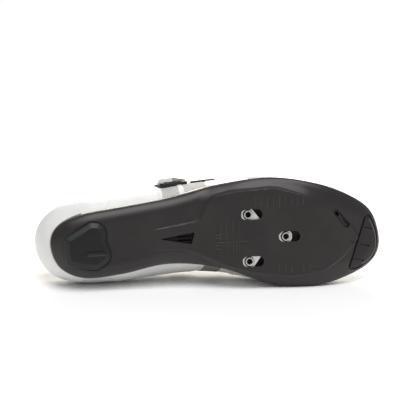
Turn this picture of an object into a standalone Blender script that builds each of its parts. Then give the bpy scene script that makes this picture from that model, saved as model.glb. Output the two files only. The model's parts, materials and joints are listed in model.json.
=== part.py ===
"""Road cycling shoe for the right foot, about EU 42, lying on its medial side.

The shoe is modelled standing, in metres: +X to the toe, +Y to the medial side, +Z up, with the heel tip
of the sole at x = 0 and both treads at z = 0. An empty then lays it down with the sole facing -Y.

A turn runs round the shoe: 0 at the heel tip, 1 at the toe tip by the lateral side, and on to 2 back at
the heel by the medial side. A rise runs up the upper's wall, from 0 at the sole to 1 at the top line.
"""

import math

import bmesh
import bpy
import numpy as np
from mathutils import Matrix, Vector

MM = 0.001

# Sole
SOLE_LENGTH = 278 * MM
BALL_WIDTH = 92 * MM
TOE_SPRING = 23 * MM
DECK_RISE = 1.2 * MM
DECK_BEVEL = 1.6 * MM
DECK_ROOT = 3.4 * MM
DECK_LAP = 0.5 * MM
LIP_DEPTH = 2.5 * MM
SPINE_SHARE = 0.8
ROUND_START = 0.62
ROUND_TOP = 1.6 * MM

# Upper
INSTEP_HEIGHT = 76 * MM
COLLAR_WIDTH = 60 * MM
BULGE = 20 * MM
COLLAR_BACK = -3 * MM
THROAT_FRONT = 200 * MM
FOOT_INSET = 4.5 * MM
WALL = 2.0 * MM
FULLNESS = 0.6
THROAT_CROWN = 6 * MM

# Clearances
SEAT_GAP = 0.3 * MM
WALL_GAP = 0.4 * MM
INSOLE_GAP = 0.5 * MM
TONGUE_GAP = 0.8 * MM
STRAP_GAP = 0.6 * MM

# Soft pieces
INSOLE_THICKNESS = 3 * MM
TONGUE_THICKNESS = 2.2 * MM
TONGUE_TIP = 26 * MM
COUNTER_THICKNESS = 1.0 * MM
STRAP_THICKNESS = 1.8 * MM
STRAP_WIDTH = 20 * MM

# Cleat plate and its slots, after the usual three-bolt pattern
BOLT_SPREAD = 38.6 * MM
BOLT_REACH = 31.1 * MM
REAR_BOLT = 161.6 * MM
BORE = 4.2 * MM
TUBE = 7.2 * MM
BOSS = 7.8 * MM
SLOT_WIDTH = 8.6 * MM
SLOT_BACK = 2.1 * MM
SLOT_FLOOR = 3.0 * MM
PLATE_THICKNESS = 2.0 * MM
PLATE_LOBE = 5.5 * MM
PLATE_TRAVEL = 9.4 * MM
BOSS_RECESS = 2.0 * MM
TUBE_RECESS = 0.4 * MM

# Heel pad, toe bumper and vents
PAD_LENGTH = 37 * MM
PAD_WIDTH = 38.5 * MM
PAD_PLACE = (10 * MM, -18.8 * MM)
PAD_SHOULDER = 2.6 * MM
PAD_BEVEL = 4.0 * MM
PAD_SEAT = 5.2 * MM
PAD_MOAT = 1.0 * MM
PAD_GROOVE = (17 * MM, 3.6 * MM, 0.8 * MM)
BUMPER_RISE = 0.8 * MM
BUMPER_SEAT = 0.9 * MM
BUMPER_REACH = 0.925
VENT_LENGTH = 19 * MM
VENT_WIDTH = 5.2 * MM
VENT_ANGLE = 48
VENT_THICKNESS = 1.6 * MM
VENT_DEPTH = 1.2 * MM

# Buckle
BUCKLE_X, BUCKLE_RISE = 105 * MM, 0.47
BUCKLE_LENGTH = 25 * MM
BUCKLE_WIDTH = 18 * MM
BUCKLE_BASE = 2.6 * MM
BUCKLE_HEIGHT = 6.8 * MM
STRAP_PITCH = 27 * MM
STRAP_LEAN = 9 * MM
ANCHOR_X, ANCHOR_RISE = BUCKLE_X + STRAP_PITCH, 0.47
INSTEP_STRAP_X, FOREFOOT_STRAP_X = BUCKLE_X + STRAP_LEAN, ANCHOR_X + 2 * STRAP_LEAN
ANCHOR_LENGTH = 21 * MM
ANCHOR_WIDTH = 15 * MM
ANCHOR_HEIGHT = 1.6 * MM

COLUMNS = 80
TURNS = np.arange(COLUMNS) / COLUMNS * 2
RISES = (0, 0.08, 0.17, 0.28, 0.40, 0.53, 0.66, 0.79, 0.90, 1)

# Rows are equal steps of turn from heel tip to toe tip. Edges are shares of the ball width.
OUTLINE = {
    "lateral": (-0.022, -0.180, -0.276, -0.326, -0.387, -0.488, -0.532, -0.463, -0.335, -0.172, 0.087),
    "medial": (-0.022, 0.190, 0.292, 0.272, 0.205, 0.261, 0.430, 0.453, 0.376, 0.262, 0.087),
}

# Heights of the shell's underside and of its rim, as shares of the toe spring, by share of sole length.
PROFILE = {
    "along": (0.00, 0.06, 0.12, 0.22, 0.30, 0.38, 0.45, 0.51, 0.57, 0.75, 0.80, 0.87, 0.94, 1.00),
    "bottom": (0.45, 0.19, 0.13, 0.13, 0.18, 0.24, 0.20, 0.10, 0.00, 0.00, 0.08, 0.30, 0.58, 0.90),
    "rim": (0.62, 0.55, 0.52, 0.52, 0.58, 0.67, 0.63, 0.53, 0.42, 0.38, 0.42, 0.63, 0.92, 1.19),
}

# The upper, in the same rows as the outline. Top widths are shares of the collar width, heights of the
# instep height, and the corner that pulls each section outwards stands off the sole by shares of the bulge.
UPPER = {
    "top_lateral": (-0.03, -0.25, -0.42, -0.50, -0.48, -0.36, -0.27, -0.23, -0.18, -0.12, -0.05),
    "top_medial": (-0.03, 0.20, 0.37, 0.45, 0.43, 0.31, 0.20, 0.14, 0.08, 0.02, -0.05),
    "top_height": (0.90, 0.87, 0.79, 0.73, 0.79, 0.98, 0.96, 0.86, 0.76, 0.70, 0.67),
    "corner_lateral": (1.10, 1.20, 1.30, 1.08, 1.15, 0.80, 0.72, 0.70, 0.60, 0.48, 0.40),
    "corner_medial": (1.10, 1.00, 0.88, 0.95, 1.15, 0.85, 0.30, 0.45, 0.55, 0.48, 0.40),
    "corner_height": (0.55, 0.55, 0.53, 0.53, 0.63, 0.80, 0.74, 0.64, 0.60, 0.64, 0.68),
}

# The raised deck and the spine behind it: shares of sole length, and of ball width to either side.
DECK = {
    "lateral_along": (0.288, 0.435, 0.478, 0.540, 0.662, 0.745, 0.842, 0.900, 0.920),
    "lateral": (-0.103, -0.163, -0.364, -0.417, -0.435, -0.366, -0.198, -0.065, 0.022),
    "medial_along": (0.288, 0.392, 0.452, 0.511, 0.597, 0.716, 0.810, 0.863, 0.920),
    "medial": (0.063, 0.073, 0.145, 0.232, 0.313, 0.357, 0.320, 0.223, 0.065),
}

# How much of the deck's rise the spine has at its rear end, and where it reaches the whole.
SPINE_TAIL = {
    "along": (0.288, 0.380),
    "share": (0.25, 1.00),
}

# Corners of the heel pad, as shares of its length and width.
PAD = {
    "along": (0.00, 0.59, 0.77, 0.90, 0.92, 0.92, 1.00, 1.00, 0.93, 0.72, 0.55, 0.04, 0.01),
    "across": (0.33, 0.00, 0.02, 0.13, 0.26, 0.40, 0.64, 0.77, 0.87, 1.00, 0.99, 0.88, 0.62),
}

# Corners of the toe bumper: shares of sole length and ball width. The rear edge is the straight one.
BUMPER = {
    "along": (0.950, 0.911, 0.891, 0.915, 0.934, 0.974, 0.987, 0.984, 0.964),
    "across": (-0.132, 0.161, 0.320, 0.322, 0.299, 0.222, 0.115, -0.005, -0.138),
}

# Corners of the arch window: shares of sole length and ball width.
WINDOW = {
    "along": (0.318, 0.422, 0.412),
    "across": (-0.024, -0.074, 0.032),
}

# Density of each finish, used only to find how the shoe comes to rest.
DENSITY = {"composite": 1350, "rubber": 1150, "fabric": 700, "foam": 250, "metal": 7800, "plastic": 1100}


def smooth(knots, values, at):
    """A monotone cubic through a table's column: equal rows stay flat between them."""
    knots, values = np.asarray(knots, float), np.asarray(values, float)
    at = np.clip(at, knots[0], knots[-1])
    step = np.diff(knots)
    slope = np.diff(values) / step
    product, total = slope[:-1] * slope[1:], slope[:-1] + slope[1:]
    inner = np.where(product > 0, 2 * product / np.where(product > 0, total, 1), 0)
    tangent = np.concatenate([[slope[0]], inner, [slope[-1]]])
    i = np.clip(np.searchsorted(knots, at, side="right") - 1, 0, len(step) - 1)
    t = (at - knots[i]) / step[i]
    return (
        (2 * t**3 - 3 * t**2 + 1) * values[i]
        + (t**3 - 2 * t**2 + t) * step[i] * tangent[i]
        + (3 * t**2 - 2 * t**3) * values[i + 1]
        + (t**3 - t**2) * step[i] * tangent[i + 1]
    )


def around(lateral, medial, turn):
    """A closed smooth curve through a lateral column and back through its medial one."""
    values = np.array([*lateral, *medial[-2:0:-1]])
    place = np.mod(turn, 2) / 2 * len(values)
    i = np.floor(place).astype(int)
    t = place - i
    before, start, end, after = (values[(i + k) % len(values)] for k in (-1, 0, 1, 2))
    return (
        start
        + t * (end - before) / 2
        + t**2 * (before - 2.5 * start + 2 * end - 0.5 * after)
        + t**3 * (1.5 * (start - end) + 0.5 * (after - before))
    )


def outline(turn):
    """The sole's outline seen from above."""
    x = SOLE_LENGTH * (1 - np.cos(np.pi * turn)) / 2
    return np.stack([x, BALL_WIDTH * around(OUTLINE["lateral"], OUTLINE["medial"], turn)], -1)


def outward(turn):
    """The outline's unit normal, pointing away from the foot."""
    step = outline(turn + 0.005) - outline(turn - 0.005)
    normal = np.stack([step[..., 1], -step[..., 0]], -1)
    return normal / np.linalg.norm(normal, axis=-1, keepdims=True)


def bottom_height(x):
    return DECK_RISE + TOE_SPRING * smooth(PROFILE["along"], PROFILE["bottom"], x / SOLE_LENGTH)


def rim_height(x):
    return DECK_RISE + TOE_SPRING * smooth(PROFILE["along"], PROFILE["rim"], x / SOLE_LENGTH)


def tray_height(x):
    return rim_height(x) - LIP_DEPTH


def raised(flat, height):
    """Points of a plan view lifted to their heights."""
    return np.concatenate([flat, np.broadcast_to(height, flat.shape[:-1])[..., None]], -1)


def ring(turn, reach):
    """Plan points at a share of the way from the sole's middle line to its outline."""
    edge = outline(turn)
    middle = (edge + outline(2 - turn)) / 2
    middle[..., 0] = SOLE_LENGTH / 2 + SPINE_SHARE * (middle[..., 0] - SOLE_LENGTH / 2)
    return middle + (edge - middle) * reach


def underside(turn, reach):
    """The shell's underside, flat across the middle and rounded up to its rim like a hull."""
    flat = ring(turn, reach)
    share = np.clip((reach - ROUND_START) / (1 - ROUND_START), 0, 1)
    low = bottom_height(flat[..., 0])
    rounded = 1 - math.sqrt(1 - share**2)
    return raised(flat, low + (rim_height(flat[..., 0]) - ROUND_TOP - low) * rounded)


def foot_line(turn):
    """Where the upper's wall starts, just inside the sole's lip."""
    flat = outline(turn) - FOOT_INSET * outward(turn)
    return raised(flat, tray_height(flat[..., 0]) + SEAT_GAP)


def top_line(turn):
    """The edge of the collar and throat."""
    x = COLLAR_BACK + (THROAT_FRONT - COLLAR_BACK) * (1 - np.cos(np.pi * turn)) / 2
    y = COLLAR_WIDTH * around(UPPER["top_lateral"], UPPER["top_medial"], turn)
    z = INSTEP_HEIGHT * around(UPPER["top_height"], UPPER["top_height"], turn)
    return np.stack([x, y, z], -1)


def wall(turn, rise):
    """The upper's outer surface: a cubic from the foot line to the top line, pulled outwards."""
    turn, rise = np.broadcast_arrays(np.asarray(turn, float), np.asarray(rise, float))
    base, top = foot_line(turn), top_line(turn)
    stand = BULGE * around(UPPER["corner_lateral"], UPPER["corner_medial"], turn)
    height = INSTEP_HEIGHT * around(UPPER["corner_height"], UPPER["corner_height"], turn)
    corner = raised(outline(turn) + stand[..., None] * outward(turn), height)
    near, far = base + FULLNESS * (corner - base), top + FULLNESS * (corner - top)
    up = rise[..., None]
    down = 1 - up
    return down**3 * base + 3 * down**2 * up * near + 3 * down * up**2 * far + up**3 * top


def wall_slopes(turn, rise):
    """How the wall's point moves with turn and with rise."""
    step = 0.002
    along = (wall(turn + step, rise) - wall(turn - step, rise)) / (2 * step)
    up = (wall(turn, rise + step) - wall(turn, rise - step)) / (2 * step)
    return along, up


def off_wall(turn, rise, lift):
    """A point at a distance outside the wall, or inside it where the lift is negative."""
    normal = np.cross(*wall_slopes(turn, rise))
    return wall(turn, rise) + lift * normal / np.linalg.norm(normal, axis=-1, keepdims=True)


def rise_at(turn, height_of):
    """The rise at which the wall reaches a height that depends on x, by halving."""
    low, high = np.zeros_like(turn), np.full_like(turn, 0.4)
    for _ in range(24):
        half = (low + high) / 2
        point = wall(turn, half)
        below = point[..., 2] < height_of(point[..., 0])
        low, high = np.where(below, half, low), np.where(below, high, half)
    return low


def turn_at(x, rise, medial):
    """The turn at which the wall passes over x, on the side asked for, by halving."""
    low, high = np.full_like(x, 0.2), np.ones_like(x)
    for _ in range(24):
        half = (low + high) / 2
        short = wall(2 - half if medial else half, rise)[..., 0] < x
        low, high = np.where(short, half, low), np.where(short, high, half)
    return 2 - low if medial else low


def bridge(turn, share, lift):
    """A point over the throat, a share of the way from its lateral edge to its medial one."""
    sides = (off_wall(turn, 1.0, lift), off_wall(2 - turn, 1.0, lift))
    point = sides[0] + (sides[1] - sides[0]) * share
    point[..., 2] += THROAT_CROWN * 4 * share * (1 - share) * np.sin(np.pi * turn)
    return point


def grow(points, distance):
    """A closed flat outline, counterclockwise, moved outwards by a distance."""
    points = np.asarray(points, float)
    edge = np.roll(points, -1, 0) - points
    normal = np.stack([edge[:, 1], -edge[:, 0]], -1)
    normal /= np.linalg.norm(normal, axis=1, keepdims=True)
    before = np.roll(normal, 1, 0)
    corner = normal + before
    corner /= (1 + (normal * before).sum(1, keepdims=True))
    return points + distance * corner


def table_points(table, scale, offset=(0, 0)):
    """A table's corners as lengths, put in counterclockwise order."""
    points = np.stack([table["along"], table["across"]], -1) * scale + offset
    after = np.roll(points, -1, 0)
    area = (points[:, 0] * after[:, 1] - points[:, 1] * after[:, 0]).sum()
    return points if area > 0 else points[::-1]


def loft(rows, closed_rows=True, caps=False):
    """A mesh through rows of points: closed_rows joins each row's end to its start."""
    bm = bmesh.new()
    lines = [[bm.verts.new(point) for point in row] for row in rows]
    count = len(lines[0])
    for low, high in zip(lines, lines[1:]):
        for i in range(count if closed_rows else count - 1):
            j = (i + 1) % count
            bm.faces.new((low[i], low[j], high[j], high[i]))
    if caps:
        bm.faces.new(lines[0][::-1])
        bm.faces.new(lines[-1])
    bmesh.ops.remove_doubles(bm, verts=bm.verts[:], dist=1e-6)
    return bm


def prism(points, low, high):
    """A flat outline between two heights, which may differ from corner to corner."""
    rows = [raised(np.asarray(points, float), low), raised(np.asarray(points, float), high)]
    return loft(rows, caps=True)


def cylinder(bm, width, low, high, x, y, segments=20):
    """Adds an upright cylinder to a mesh."""
    place = Matrix.Translation((x, y, (low + high) / 2))
    made = bmesh.ops.create_cone(
        bm,
        cap_ends=True,
        segments=segments,
        radius1=width / 2,
        radius2=width / 2,
        depth=high - low,
        matrix=place @ Matrix.Rotation(math.pi / segments, 4, "Z"),
    )
    return made["verts"]


def slot(bm, length, width, low, high, x, y, segments=20):
    """Adds a round-ended slot: a cylinder whose front half is pulled towards the toe."""
    for vert in cylinder(bm, width, low, high, x, y, segments):
        if vert.co.x > x:
            vert.co.x += length - width


def block(bm, size, place):
    """Adds a box to a mesh."""
    matrix = Matrix.Translation(place) @ Matrix.Diagonal((*size, 1))
    return bmesh.ops.create_cube(bm, size=1, matrix=matrix)["verts"]


def material(name, colour, roughness, metallic=0.0):
    made = bpy.data.materials.new(name)
    made.use_nodes = True
    shader = made.node_tree.nodes["Principled BSDF"]
    shader.inputs["Base Color"].default_value = (*colour, 1)
    shader.inputs["Roughness"].default_value = roughness
    shader.inputs["Metallic"].default_value = metallic
    return made


class Shoe:
    """The collections, the empty that lays the shoe down, and the objects made so far."""

    def __init__(self):
        for old in list(bpy.data.objects):
            bpy.data.objects.remove(old)
        self.parts = bpy.data.collections.new("cycling_shoe")
        self.cutters = bpy.data.collections.new("cutters")
        bpy.context.scene.collection.children.link(self.parts)
        bpy.context.scene.collection.children.link(self.cutters)
        self.stance = bpy.data.objects.new("stance", None)
        self.parts.objects.link(self.stance)
        self.finishes = {}

    def part(self, name, bm, finish, look, closed=True):
        """A named piece. look is its colour, roughness and metallic value."""
        obj = self._object(name, bm, closed)
        obj.data.materials.append(material(name, *look))
        self.parts.objects.link(obj)
        self.finishes[name] = finish
        return obj

    def cutter(self, name, bm, closed=True):
        """A shape that only cuts or joins."""
        obj = self._object(name, bm, closed)
        obj.hide_render = True
        obj.display_type = "WIRE"
        self.cutters.objects.link(obj)
        return obj

    def _object(self, name, bm, closed):
        if closed:
            bmesh.ops.recalc_face_normals(bm, faces=bm.faces[:])
        mesh = bpy.data.meshes.new(name)
        bm.to_mesh(mesh)
        bm.free()
        mesh.shade_smooth()
        mesh.set_sharp_from_angle(angle=math.radians(35))
        obj = bpy.data.objects.new(name, mesh)
        obj.parent = self.stance
        return obj


def combine(obj, operation, *others, solver="EXACT"):
    """Booleans with other objects, in order."""
    for other in others:
        step = obj.modifiers.new(f"{operation.lower()} {other.name}", "BOOLEAN")
        step.operation = operation
        step.solver = solver
        step.object = other


def combine_sole(obj, operation, *others):
    """Booleans on the sole, whose long thin quads need the manifold solver."""
    combine(obj, operation, *others, solver="MANIFOLD")


def thicken(obj, thickness, offset, even=True):
    """Gives an open surface a wall: offset -1 puts it inside, 1 outside."""
    shell = obj.modifiers.new("wall", "SOLIDIFY")
    shell.thickness = thickness
    shell.offset = offset
    shell.use_even_offset = even


def sole_layer(low, high, reach):
    """A layer that follows the sole's underside, from low to high, out to a share of the outline."""
    inner = [share for share in (0, 0.38, 0.62, 0.76, 0.86, 0.92) if share < reach]
    shares = [*inner, reach]
    down = [underside(TURNS, share) + (0, 0, low) for share in shares]
    up = [underside(TURNS, share) + (0, 0, high) for share in reversed(shares)]
    return loft([*down, *up])


def build_outsole(shoe):
    """The shell, its lip and tray, with the deck joined on and every opening cut."""
    shares = (0, 0.38, 0.62, 0.76, 0.86, 0.94, 0.985, 1)
    rows = [underside(TURNS, share) for share in shares]
    edge = outline(TURNS)
    rows.append(raised(edge, rim_height(edge[:, 0])))
    flat = wall(TURNS, rise_at(TURNS, rim_height))[:, :2] + WALL_GAP * outward(TURNS)
    rows.append(raised(flat, rim_height(flat[:, 0])))
    flat = foot_line(TURNS)[:, :2] + WALL_GAP * outward(TURNS)
    rows.append(raised(flat, tray_height(flat[:, 0])))
    for share in (0.7, 0.35, 0):
        flat = ring(TURNS, share)
        rows.append(raised(flat, tray_height(flat[:, 0])))
    outsole = shoe.part("outsole", loft(rows), "composite", ((0.035, 0.031, 0.032), 0.45))
    combine_sole(outsole, "UNION", shoe.cutter("deck", deck()))
    seats = bmesh.new()
    for x, y in bolts():
        slot(seats, SLOT_WIDTH + PLATE_TRAVEL, SLOT_WIDTH, -0.01, 0.02, x - SLOT_BACK, y)
    window = prism(window_outline(0), -0.01, 0.03)
    for name, shape in (("plate_pocket", plate_pocket()), ("slots", seats), ("window", window)):
        combine_sole(outsole, "DIFFERENCE", shoe.cutter(name, shape))
    return outsole


def deck():
    """The raised forefoot deck and the spine behind it, as sections across the sole."""
    corners = sorted({*DECK["lateral_along"], *DECK["medial_along"]})
    level = (PROFILE["along"][8], PROFILE["along"][9])
    evenly = [share for share in np.arange(0.30, 0.92, 0.03) if not level[0] <= share <= level[1]]
    along = sorted({*corners, *level, *(round(share, 3) for share in evenly)})
    rows = []
    for share in along:
        left = BALL_WIDTH * np.interp(share, DECK["lateral_along"], DECK["lateral"])
        right = BALL_WIDTH * np.interp(share, DECK["medial_along"], DECK["medial"])
        x = share * SOLE_LENGTH
        z = bottom_height(x)
        rise = DECK_RISE * np.interp(share, SPINE_TAIL["along"], SPINE_TAIL["share"])
        bevel = min(DECK_BEVEL, (right - left) / 3)
        section = (
            (left, z + DECK_ROOT),
            (left, z + DECK_LAP),
            (left + bevel, z - rise),
            (right - bevel, z - rise),
            (right, z + DECK_LAP),
            (right, z + DECK_ROOT),
        )
        rows.append([(x, y, height) for y, height in section])
    return loft(rows, caps=True)


def bolts():
    """The three bolt places: rear lateral, rear medial and front. Their slots start SLOT_BACK behind them."""
    half = BOLT_SPREAD / 2
    return (REAR_BOLT, -half), (REAR_BOLT, half), (REAR_BOLT + BOLT_REACH, 0)


def plate_outline():
    """Half the cleat plate from its rear middle to its nose, mirrored to the whole: a bar across the two
    rear bosses with an arm to the front one."""
    lobe, half = PLATE_LOBE, BOLT_SPREAD / 2
    angles = np.radians((180, 216, 252, 288, 324))
    rear = [(lobe * math.cos(a), -half + lobe * math.sin(a)) for a in angles]
    waist = [(0.3 * BOLT_REACH, -0.84 * half), (0.48 * BOLT_REACH, -0.45 * half), (0.8 * BOLT_REACH, -lobe)]
    front = [(BOLT_REACH + lobe * math.cos(a), lobe * math.sin(a)) for a in np.radians((270, 306, 342))]
    side = np.array([*rear, *waist, *front])
    return np.concatenate([side, side[::-1] * (1, -1)]) + (REAR_BOLT, 0)


def plate_pocket():
    """The recess in the tray that the cleat plate slides in."""
    lobe, half, gap = PLATE_LOBE, BOLT_SPREAD / 2, 0.7 * MM
    side = np.array(
        [
            (-lobe - gap, -half - lobe - gap),
            (lobe + PLATE_TRAVEL + gap, -half - lobe - gap),
            (BOLT_REACH + lobe, -lobe - 2 * gap),
            (BOLT_REACH + lobe + PLATE_TRAVEL + gap, -lobe - 2 * gap),
        ]
    )
    points = np.concatenate([side, side[::-1] * (1, -1)]) + (REAR_BOLT - SLOT_BACK, 0)
    return prism(points, SLOT_FLOOR, 0.03)


def build_cleat_plate(shoe):
    """The plate with three threaded bosses that reach down into the slots."""
    low = SLOT_FLOOR + SEAT_GAP
    steel = ((0.78, 0.78, 0.77), 0.25, 1.0)
    plate = shoe.part("cleat_plate", prism(plate_outline(), low, low + PLATE_THICKNESS), "metal", steel)
    bosses, tubes, bores = bmesh.new(), bmesh.new(), bmesh.new()
    for x, y in bolts():
        cylinder(bosses, BOSS, BOSS_RECESS, low + PLATE_THICKNESS / 2, x, y, 24)
        cylinder(tubes, TUBE, TUBE_RECESS, low + PLATE_THICKNESS / 3, x, y, 24)
        cylinder(bores, BORE, -0.01, 0.02, x, y)
    combine(plate, "UNION", shoe.cutter("bosses", bosses), shoe.cutter("tubes", tubes))
    combine(plate, "DIFFERENCE", shoe.cutter("bores", bores))
    return plate


def pad_outline(distance):
    points = table_points(PAD, (PAD_LENGTH, PAD_WIDTH), PAD_PLACE)
    return grow(points, distance)


def build_heel_pad(shoe, outsole):
    """The tread block let into the heel: a flat face with a bevel round it."""
    rows = [
        raised(pad_outline(-PAD_BEVEL), 0.0),
        raised(pad_outline(0), PAD_SHOULDER),
        raised(pad_outline(0), PAD_SEAT),
    ]
    pad = shoe.part("heel_pad", loft(rows, caps=True), "rubber", ((0.03, 0.034, 0.034), 0.6))
    length, width, depth = PAD_GROOVE
    groove = bmesh.new()
    place = (PAD_PLACE[0] + 0.50 * PAD_LENGTH, PAD_PLACE[1] + 0.66 * PAD_WIDTH)
    slot(groove, length, width, -0.01, depth, *place, segments=12)
    combine(pad, "DIFFERENCE", shoe.cutter("pad_groove", groove))
    seat = prism(pad_outline(PAD_MOAT), -0.01, PAD_SEAT + SEAT_GAP)
    combine_sole(outsole, "DIFFERENCE", shoe.cutter("pad_seat", seat))


def build_toe_bumper(shoe, outsole):
    """The crescent insert under the toe, which follows the sole's own underside."""
    corners = table_points(BUMPER, (SOLE_LENGTH, BALL_WIDTH))
    look = ((0.04, 0.036, 0.037), 0.55)
    bumper = shoe.part("toe_bumper", sole_layer(-BUMPER_RISE, BUMPER_SEAT, BUMPER_REACH), "rubber", look)
    combine_sole(bumper, "INTERSECT", shoe.cutter("bumper_shape", prism(corners, 0, 0.05)))
    seat = shoe.cutter("bumper_seat", prism(grow(corners, SEAT_GAP), 0, 0.05))
    around_it = sole_layer(-BUMPER_SEAT, BUMPER_SEAT + SEAT_GAP, BUMPER_REACH + 0.015)
    combine_sole(seat, "INTERSECT", shoe.cutter("bumper_depth", around_it))
    combine_sole(outsole, "DIFFERENCE", seat)


def window_outline(distance):
    return grow(table_points(WINDOW, (SOLE_LENGTH, BALL_WIDTH)), distance)


def build_arch_vent(shoe):
    """The grille in the arch window: a plate with a rib between two openings."""
    inner = window_outline(-SEAT_GAP)
    low = bottom_height(inner[:, 0]) + VENT_DEPTH
    look = ((0.012, 0.012, 0.012), 0.7)
    grille = shoe.part("arch_vent", prism(inner, low, low + VENT_THICKNESS), "plastic", look)
    holes = bmesh.new()
    middle = inner.mean(0)
    back = inner[inner[:, 0].argmin()]
    front = (inner.sum(0) - back) / 2
    lean = math.atan2(*(front - back)[::-1])
    length = 0.45 * np.linalg.norm(front - back)
    gauge = 0.17 * (inner[:, 1].max() - inner[:, 1].min())
    slot(holes, length, gauge, -0.01, 0.01, -0.3 * length, gauge, 12)
    slot(holes, length, gauge, -0.01, 0.01, -0.3 * length, -gauge, 12)
    place = Matrix.Translation((*middle, low.mean())) @ Matrix.Rotation(lean, 4, "Z")
    bmesh.ops.transform(holes, matrix=place, verts=holes.verts[:])
    combine(grille, "DIFFERENCE", shoe.cutter("arch_vent_holes", holes))


def toe_vent_place():
    """The toe vent's middle, tilted to the sole's underside there and turned to its own angle."""
    x, y = 0.868 * SOLE_LENGTH, -0.134 * BALL_WIDTH
    step = 2 * MM
    slope = math.atan2(bottom_height(x + step) - bottom_height(x - step), 2 * step)
    tilt = Matrix.Rotation(-slope, 4, "Y") @ Matrix.Rotation(math.radians(VENT_ANGLE), 4, "Z")
    return Matrix.Translation((x, y, bottom_height(x))) @ tilt


def upright_slot(length, width, low, high, segments=16):
    """A round-ended slot about its own middle."""
    bm = bmesh.new()
    slot(bm, length, width, low, high, (width - length) / 2, 0, segments)
    return bm


def build_toe_vent(shoe, outsole):
    """The insert in the slanted toe vent, with a round opening and a wedge-shaped one."""
    place = toe_vent_place()
    hole = upright_slot(VENT_LENGTH, VENT_WIDTH, -0.01, 0.02)
    bmesh.ops.transform(hole, matrix=place, verts=hole.verts[:])
    combine_sole(outsole, "DIFFERENCE", shoe.cutter("toe_vent_hole", hole))
    low = VENT_DEPTH
    inner = [size - 2 * SEAT_GAP for size in (VENT_LENGTH, VENT_WIDTH)]
    insert = upright_slot(*inner, low, low + VENT_THICKNESS)
    bmesh.ops.transform(insert, matrix=place, verts=insert.verts[:])
    vent = shoe.part("toe_vent", insert, "plastic", ((0.012, 0.012, 0.012), 0.6))
    holes = bmesh.new()
    gauge = VENT_WIDTH - 2.4 * MM
    slot(holes, 0.34 * VENT_LENGTH, gauge, -0.01, 0.01, -0.34 * VENT_LENGTH, 0, 12)
    wedge = np.array([(0.08, -0.5), (0.36, -0.25), (0.36, 0.25), (0.08, 0.5)]) * (VENT_LENGTH, gauge)
    lines = [[holes.verts.new((*point, height)) for point in wedge] for height in (-0.01, 0.01)]
    for i in range(4):
        j = (i + 1) % 4
        holes.faces.new((lines[0][i], lines[0][j], lines[1][j], lines[1][i]))
    holes.faces.new(lines[0][::-1])
    holes.faces.new(lines[1])
    bmesh.ops.transform(holes, matrix=place, verts=holes.verts[:])
    combine(vent, "DIFFERENCE", shoe.cutter("toe_vent_openings", holes))


def build_insole(shoe):
    """The footbed, which lies in the tray inside the wall."""
    inset = WALL + INSOLE_GAP
    edge = foot_line(TURNS)[:, :2] - inset * outward(TURNS)
    middle = ring(TURNS, 0)
    low = tray_height(edge[:, 0]) + INSOLE_GAP
    rows = []
    for share in (0, 0.5, 1):
        flat = middle + (edge - middle) * share
        rows.append(raised(flat, tray_height(flat[:, 0]) + INSOLE_GAP))
    rows.append(raised(edge, low + INSOLE_THICKNESS))
    for share in (0.5, 0):
        flat = middle + (edge - middle) * share
        rows.append(raised(flat, tray_height(flat[:, 0]) + INSOLE_GAP + INSOLE_THICKNESS))
    shoe.part("insole", loft(rows), "foam", ((0.05, 0.05, 0.055), 0.9))


def build_upper(shoe):
    """One hollow wall, open at the collar, along the throat and underneath."""
    rows = [wall(TURNS, rise) for rise in RISES]
    upper = shoe.part("upper", loft(rows), "fabric", ((0.86, 0.86, 0.85), 0.5), closed=False)
    thicken(upper, WALL, -1)


def build_heel_counter(shoe):
    """The outer heel cup, which lies on the wall and slopes down towards both sides."""
    turns = np.linspace(-0.2, 0.2, 17)
    top = 0.50 - 0.24 * (turns / 0.2) ** 2
    low = rise_at(np.mod(turns, 2), lambda x: rim_height(x) + 2 * MM)
    rows = [off_wall(turns, low + (top - low) * share, WALL_GAP) for share in np.linspace(0, 1, 6)]
    look = ((0.88, 0.88, 0.87), 0.35)
    counter = shoe.part("heel_counter", loft(rows, closed_rows=False), "plastic", look, closed=False)
    thicken(counter, COUNTER_THICKNESS, 1)


def build_tongue(shoe):
    """The tongue: under both edges of the throat, across it, and up past the collar's front."""
    lift = -(WALL + TONGUE_GAP)
    turns = TURNS[COLUMNS // 4 : COLUMNS // 2 + 1]
    margins, shares = RISES[-3:-1], (0.0, 0.25, 0.5, 0.75, 1.0)
    columns = [off_wall(turns, rise, lift) for rise in margins]
    columns += [bridge(turns, share, lift) for share in shares]
    columns += [off_wall(2 - turns, rise, lift) for rise in reversed(margins)]
    body = np.stack(columns, 1)
    heading = (body[0] - body[1])[2:-2].mean(0)
    heading = heading / np.linalg.norm(heading) + np.array((0.3, 0, 1.1))
    heading /= np.linalg.norm(heading)
    crossing = body[0, 2:-2]
    middle = crossing.mean(0)
    tip = []
    for share in (1.0, 0.66, 0.33):
        row = crossing + heading * TONGUE_TIP * share
        row[:, 1] = middle[1] + (row[:, 1] - middle[1]) * (0.78 - 0.05 * share**2)
        folded = [(0, step * 0.5 * MM, -step * 1.8 * MM) for step in (2, 1)]
        lateral, medial = row[0] + folded, row[-1] + np.array(folded[::-1]) * (1, -1, 1)
        tip.append(np.concatenate([lateral, row, medial]))
    rows = [*tip, *body][::-1]
    look = ((0.8, 0.8, 0.79), 0.7)
    tongue = shoe.part("tongue", loft(rows, closed_rows=False), "fabric", look, closed=False)
    thicken(tongue, TONGUE_THICKNESS, -1, even=False)


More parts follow.
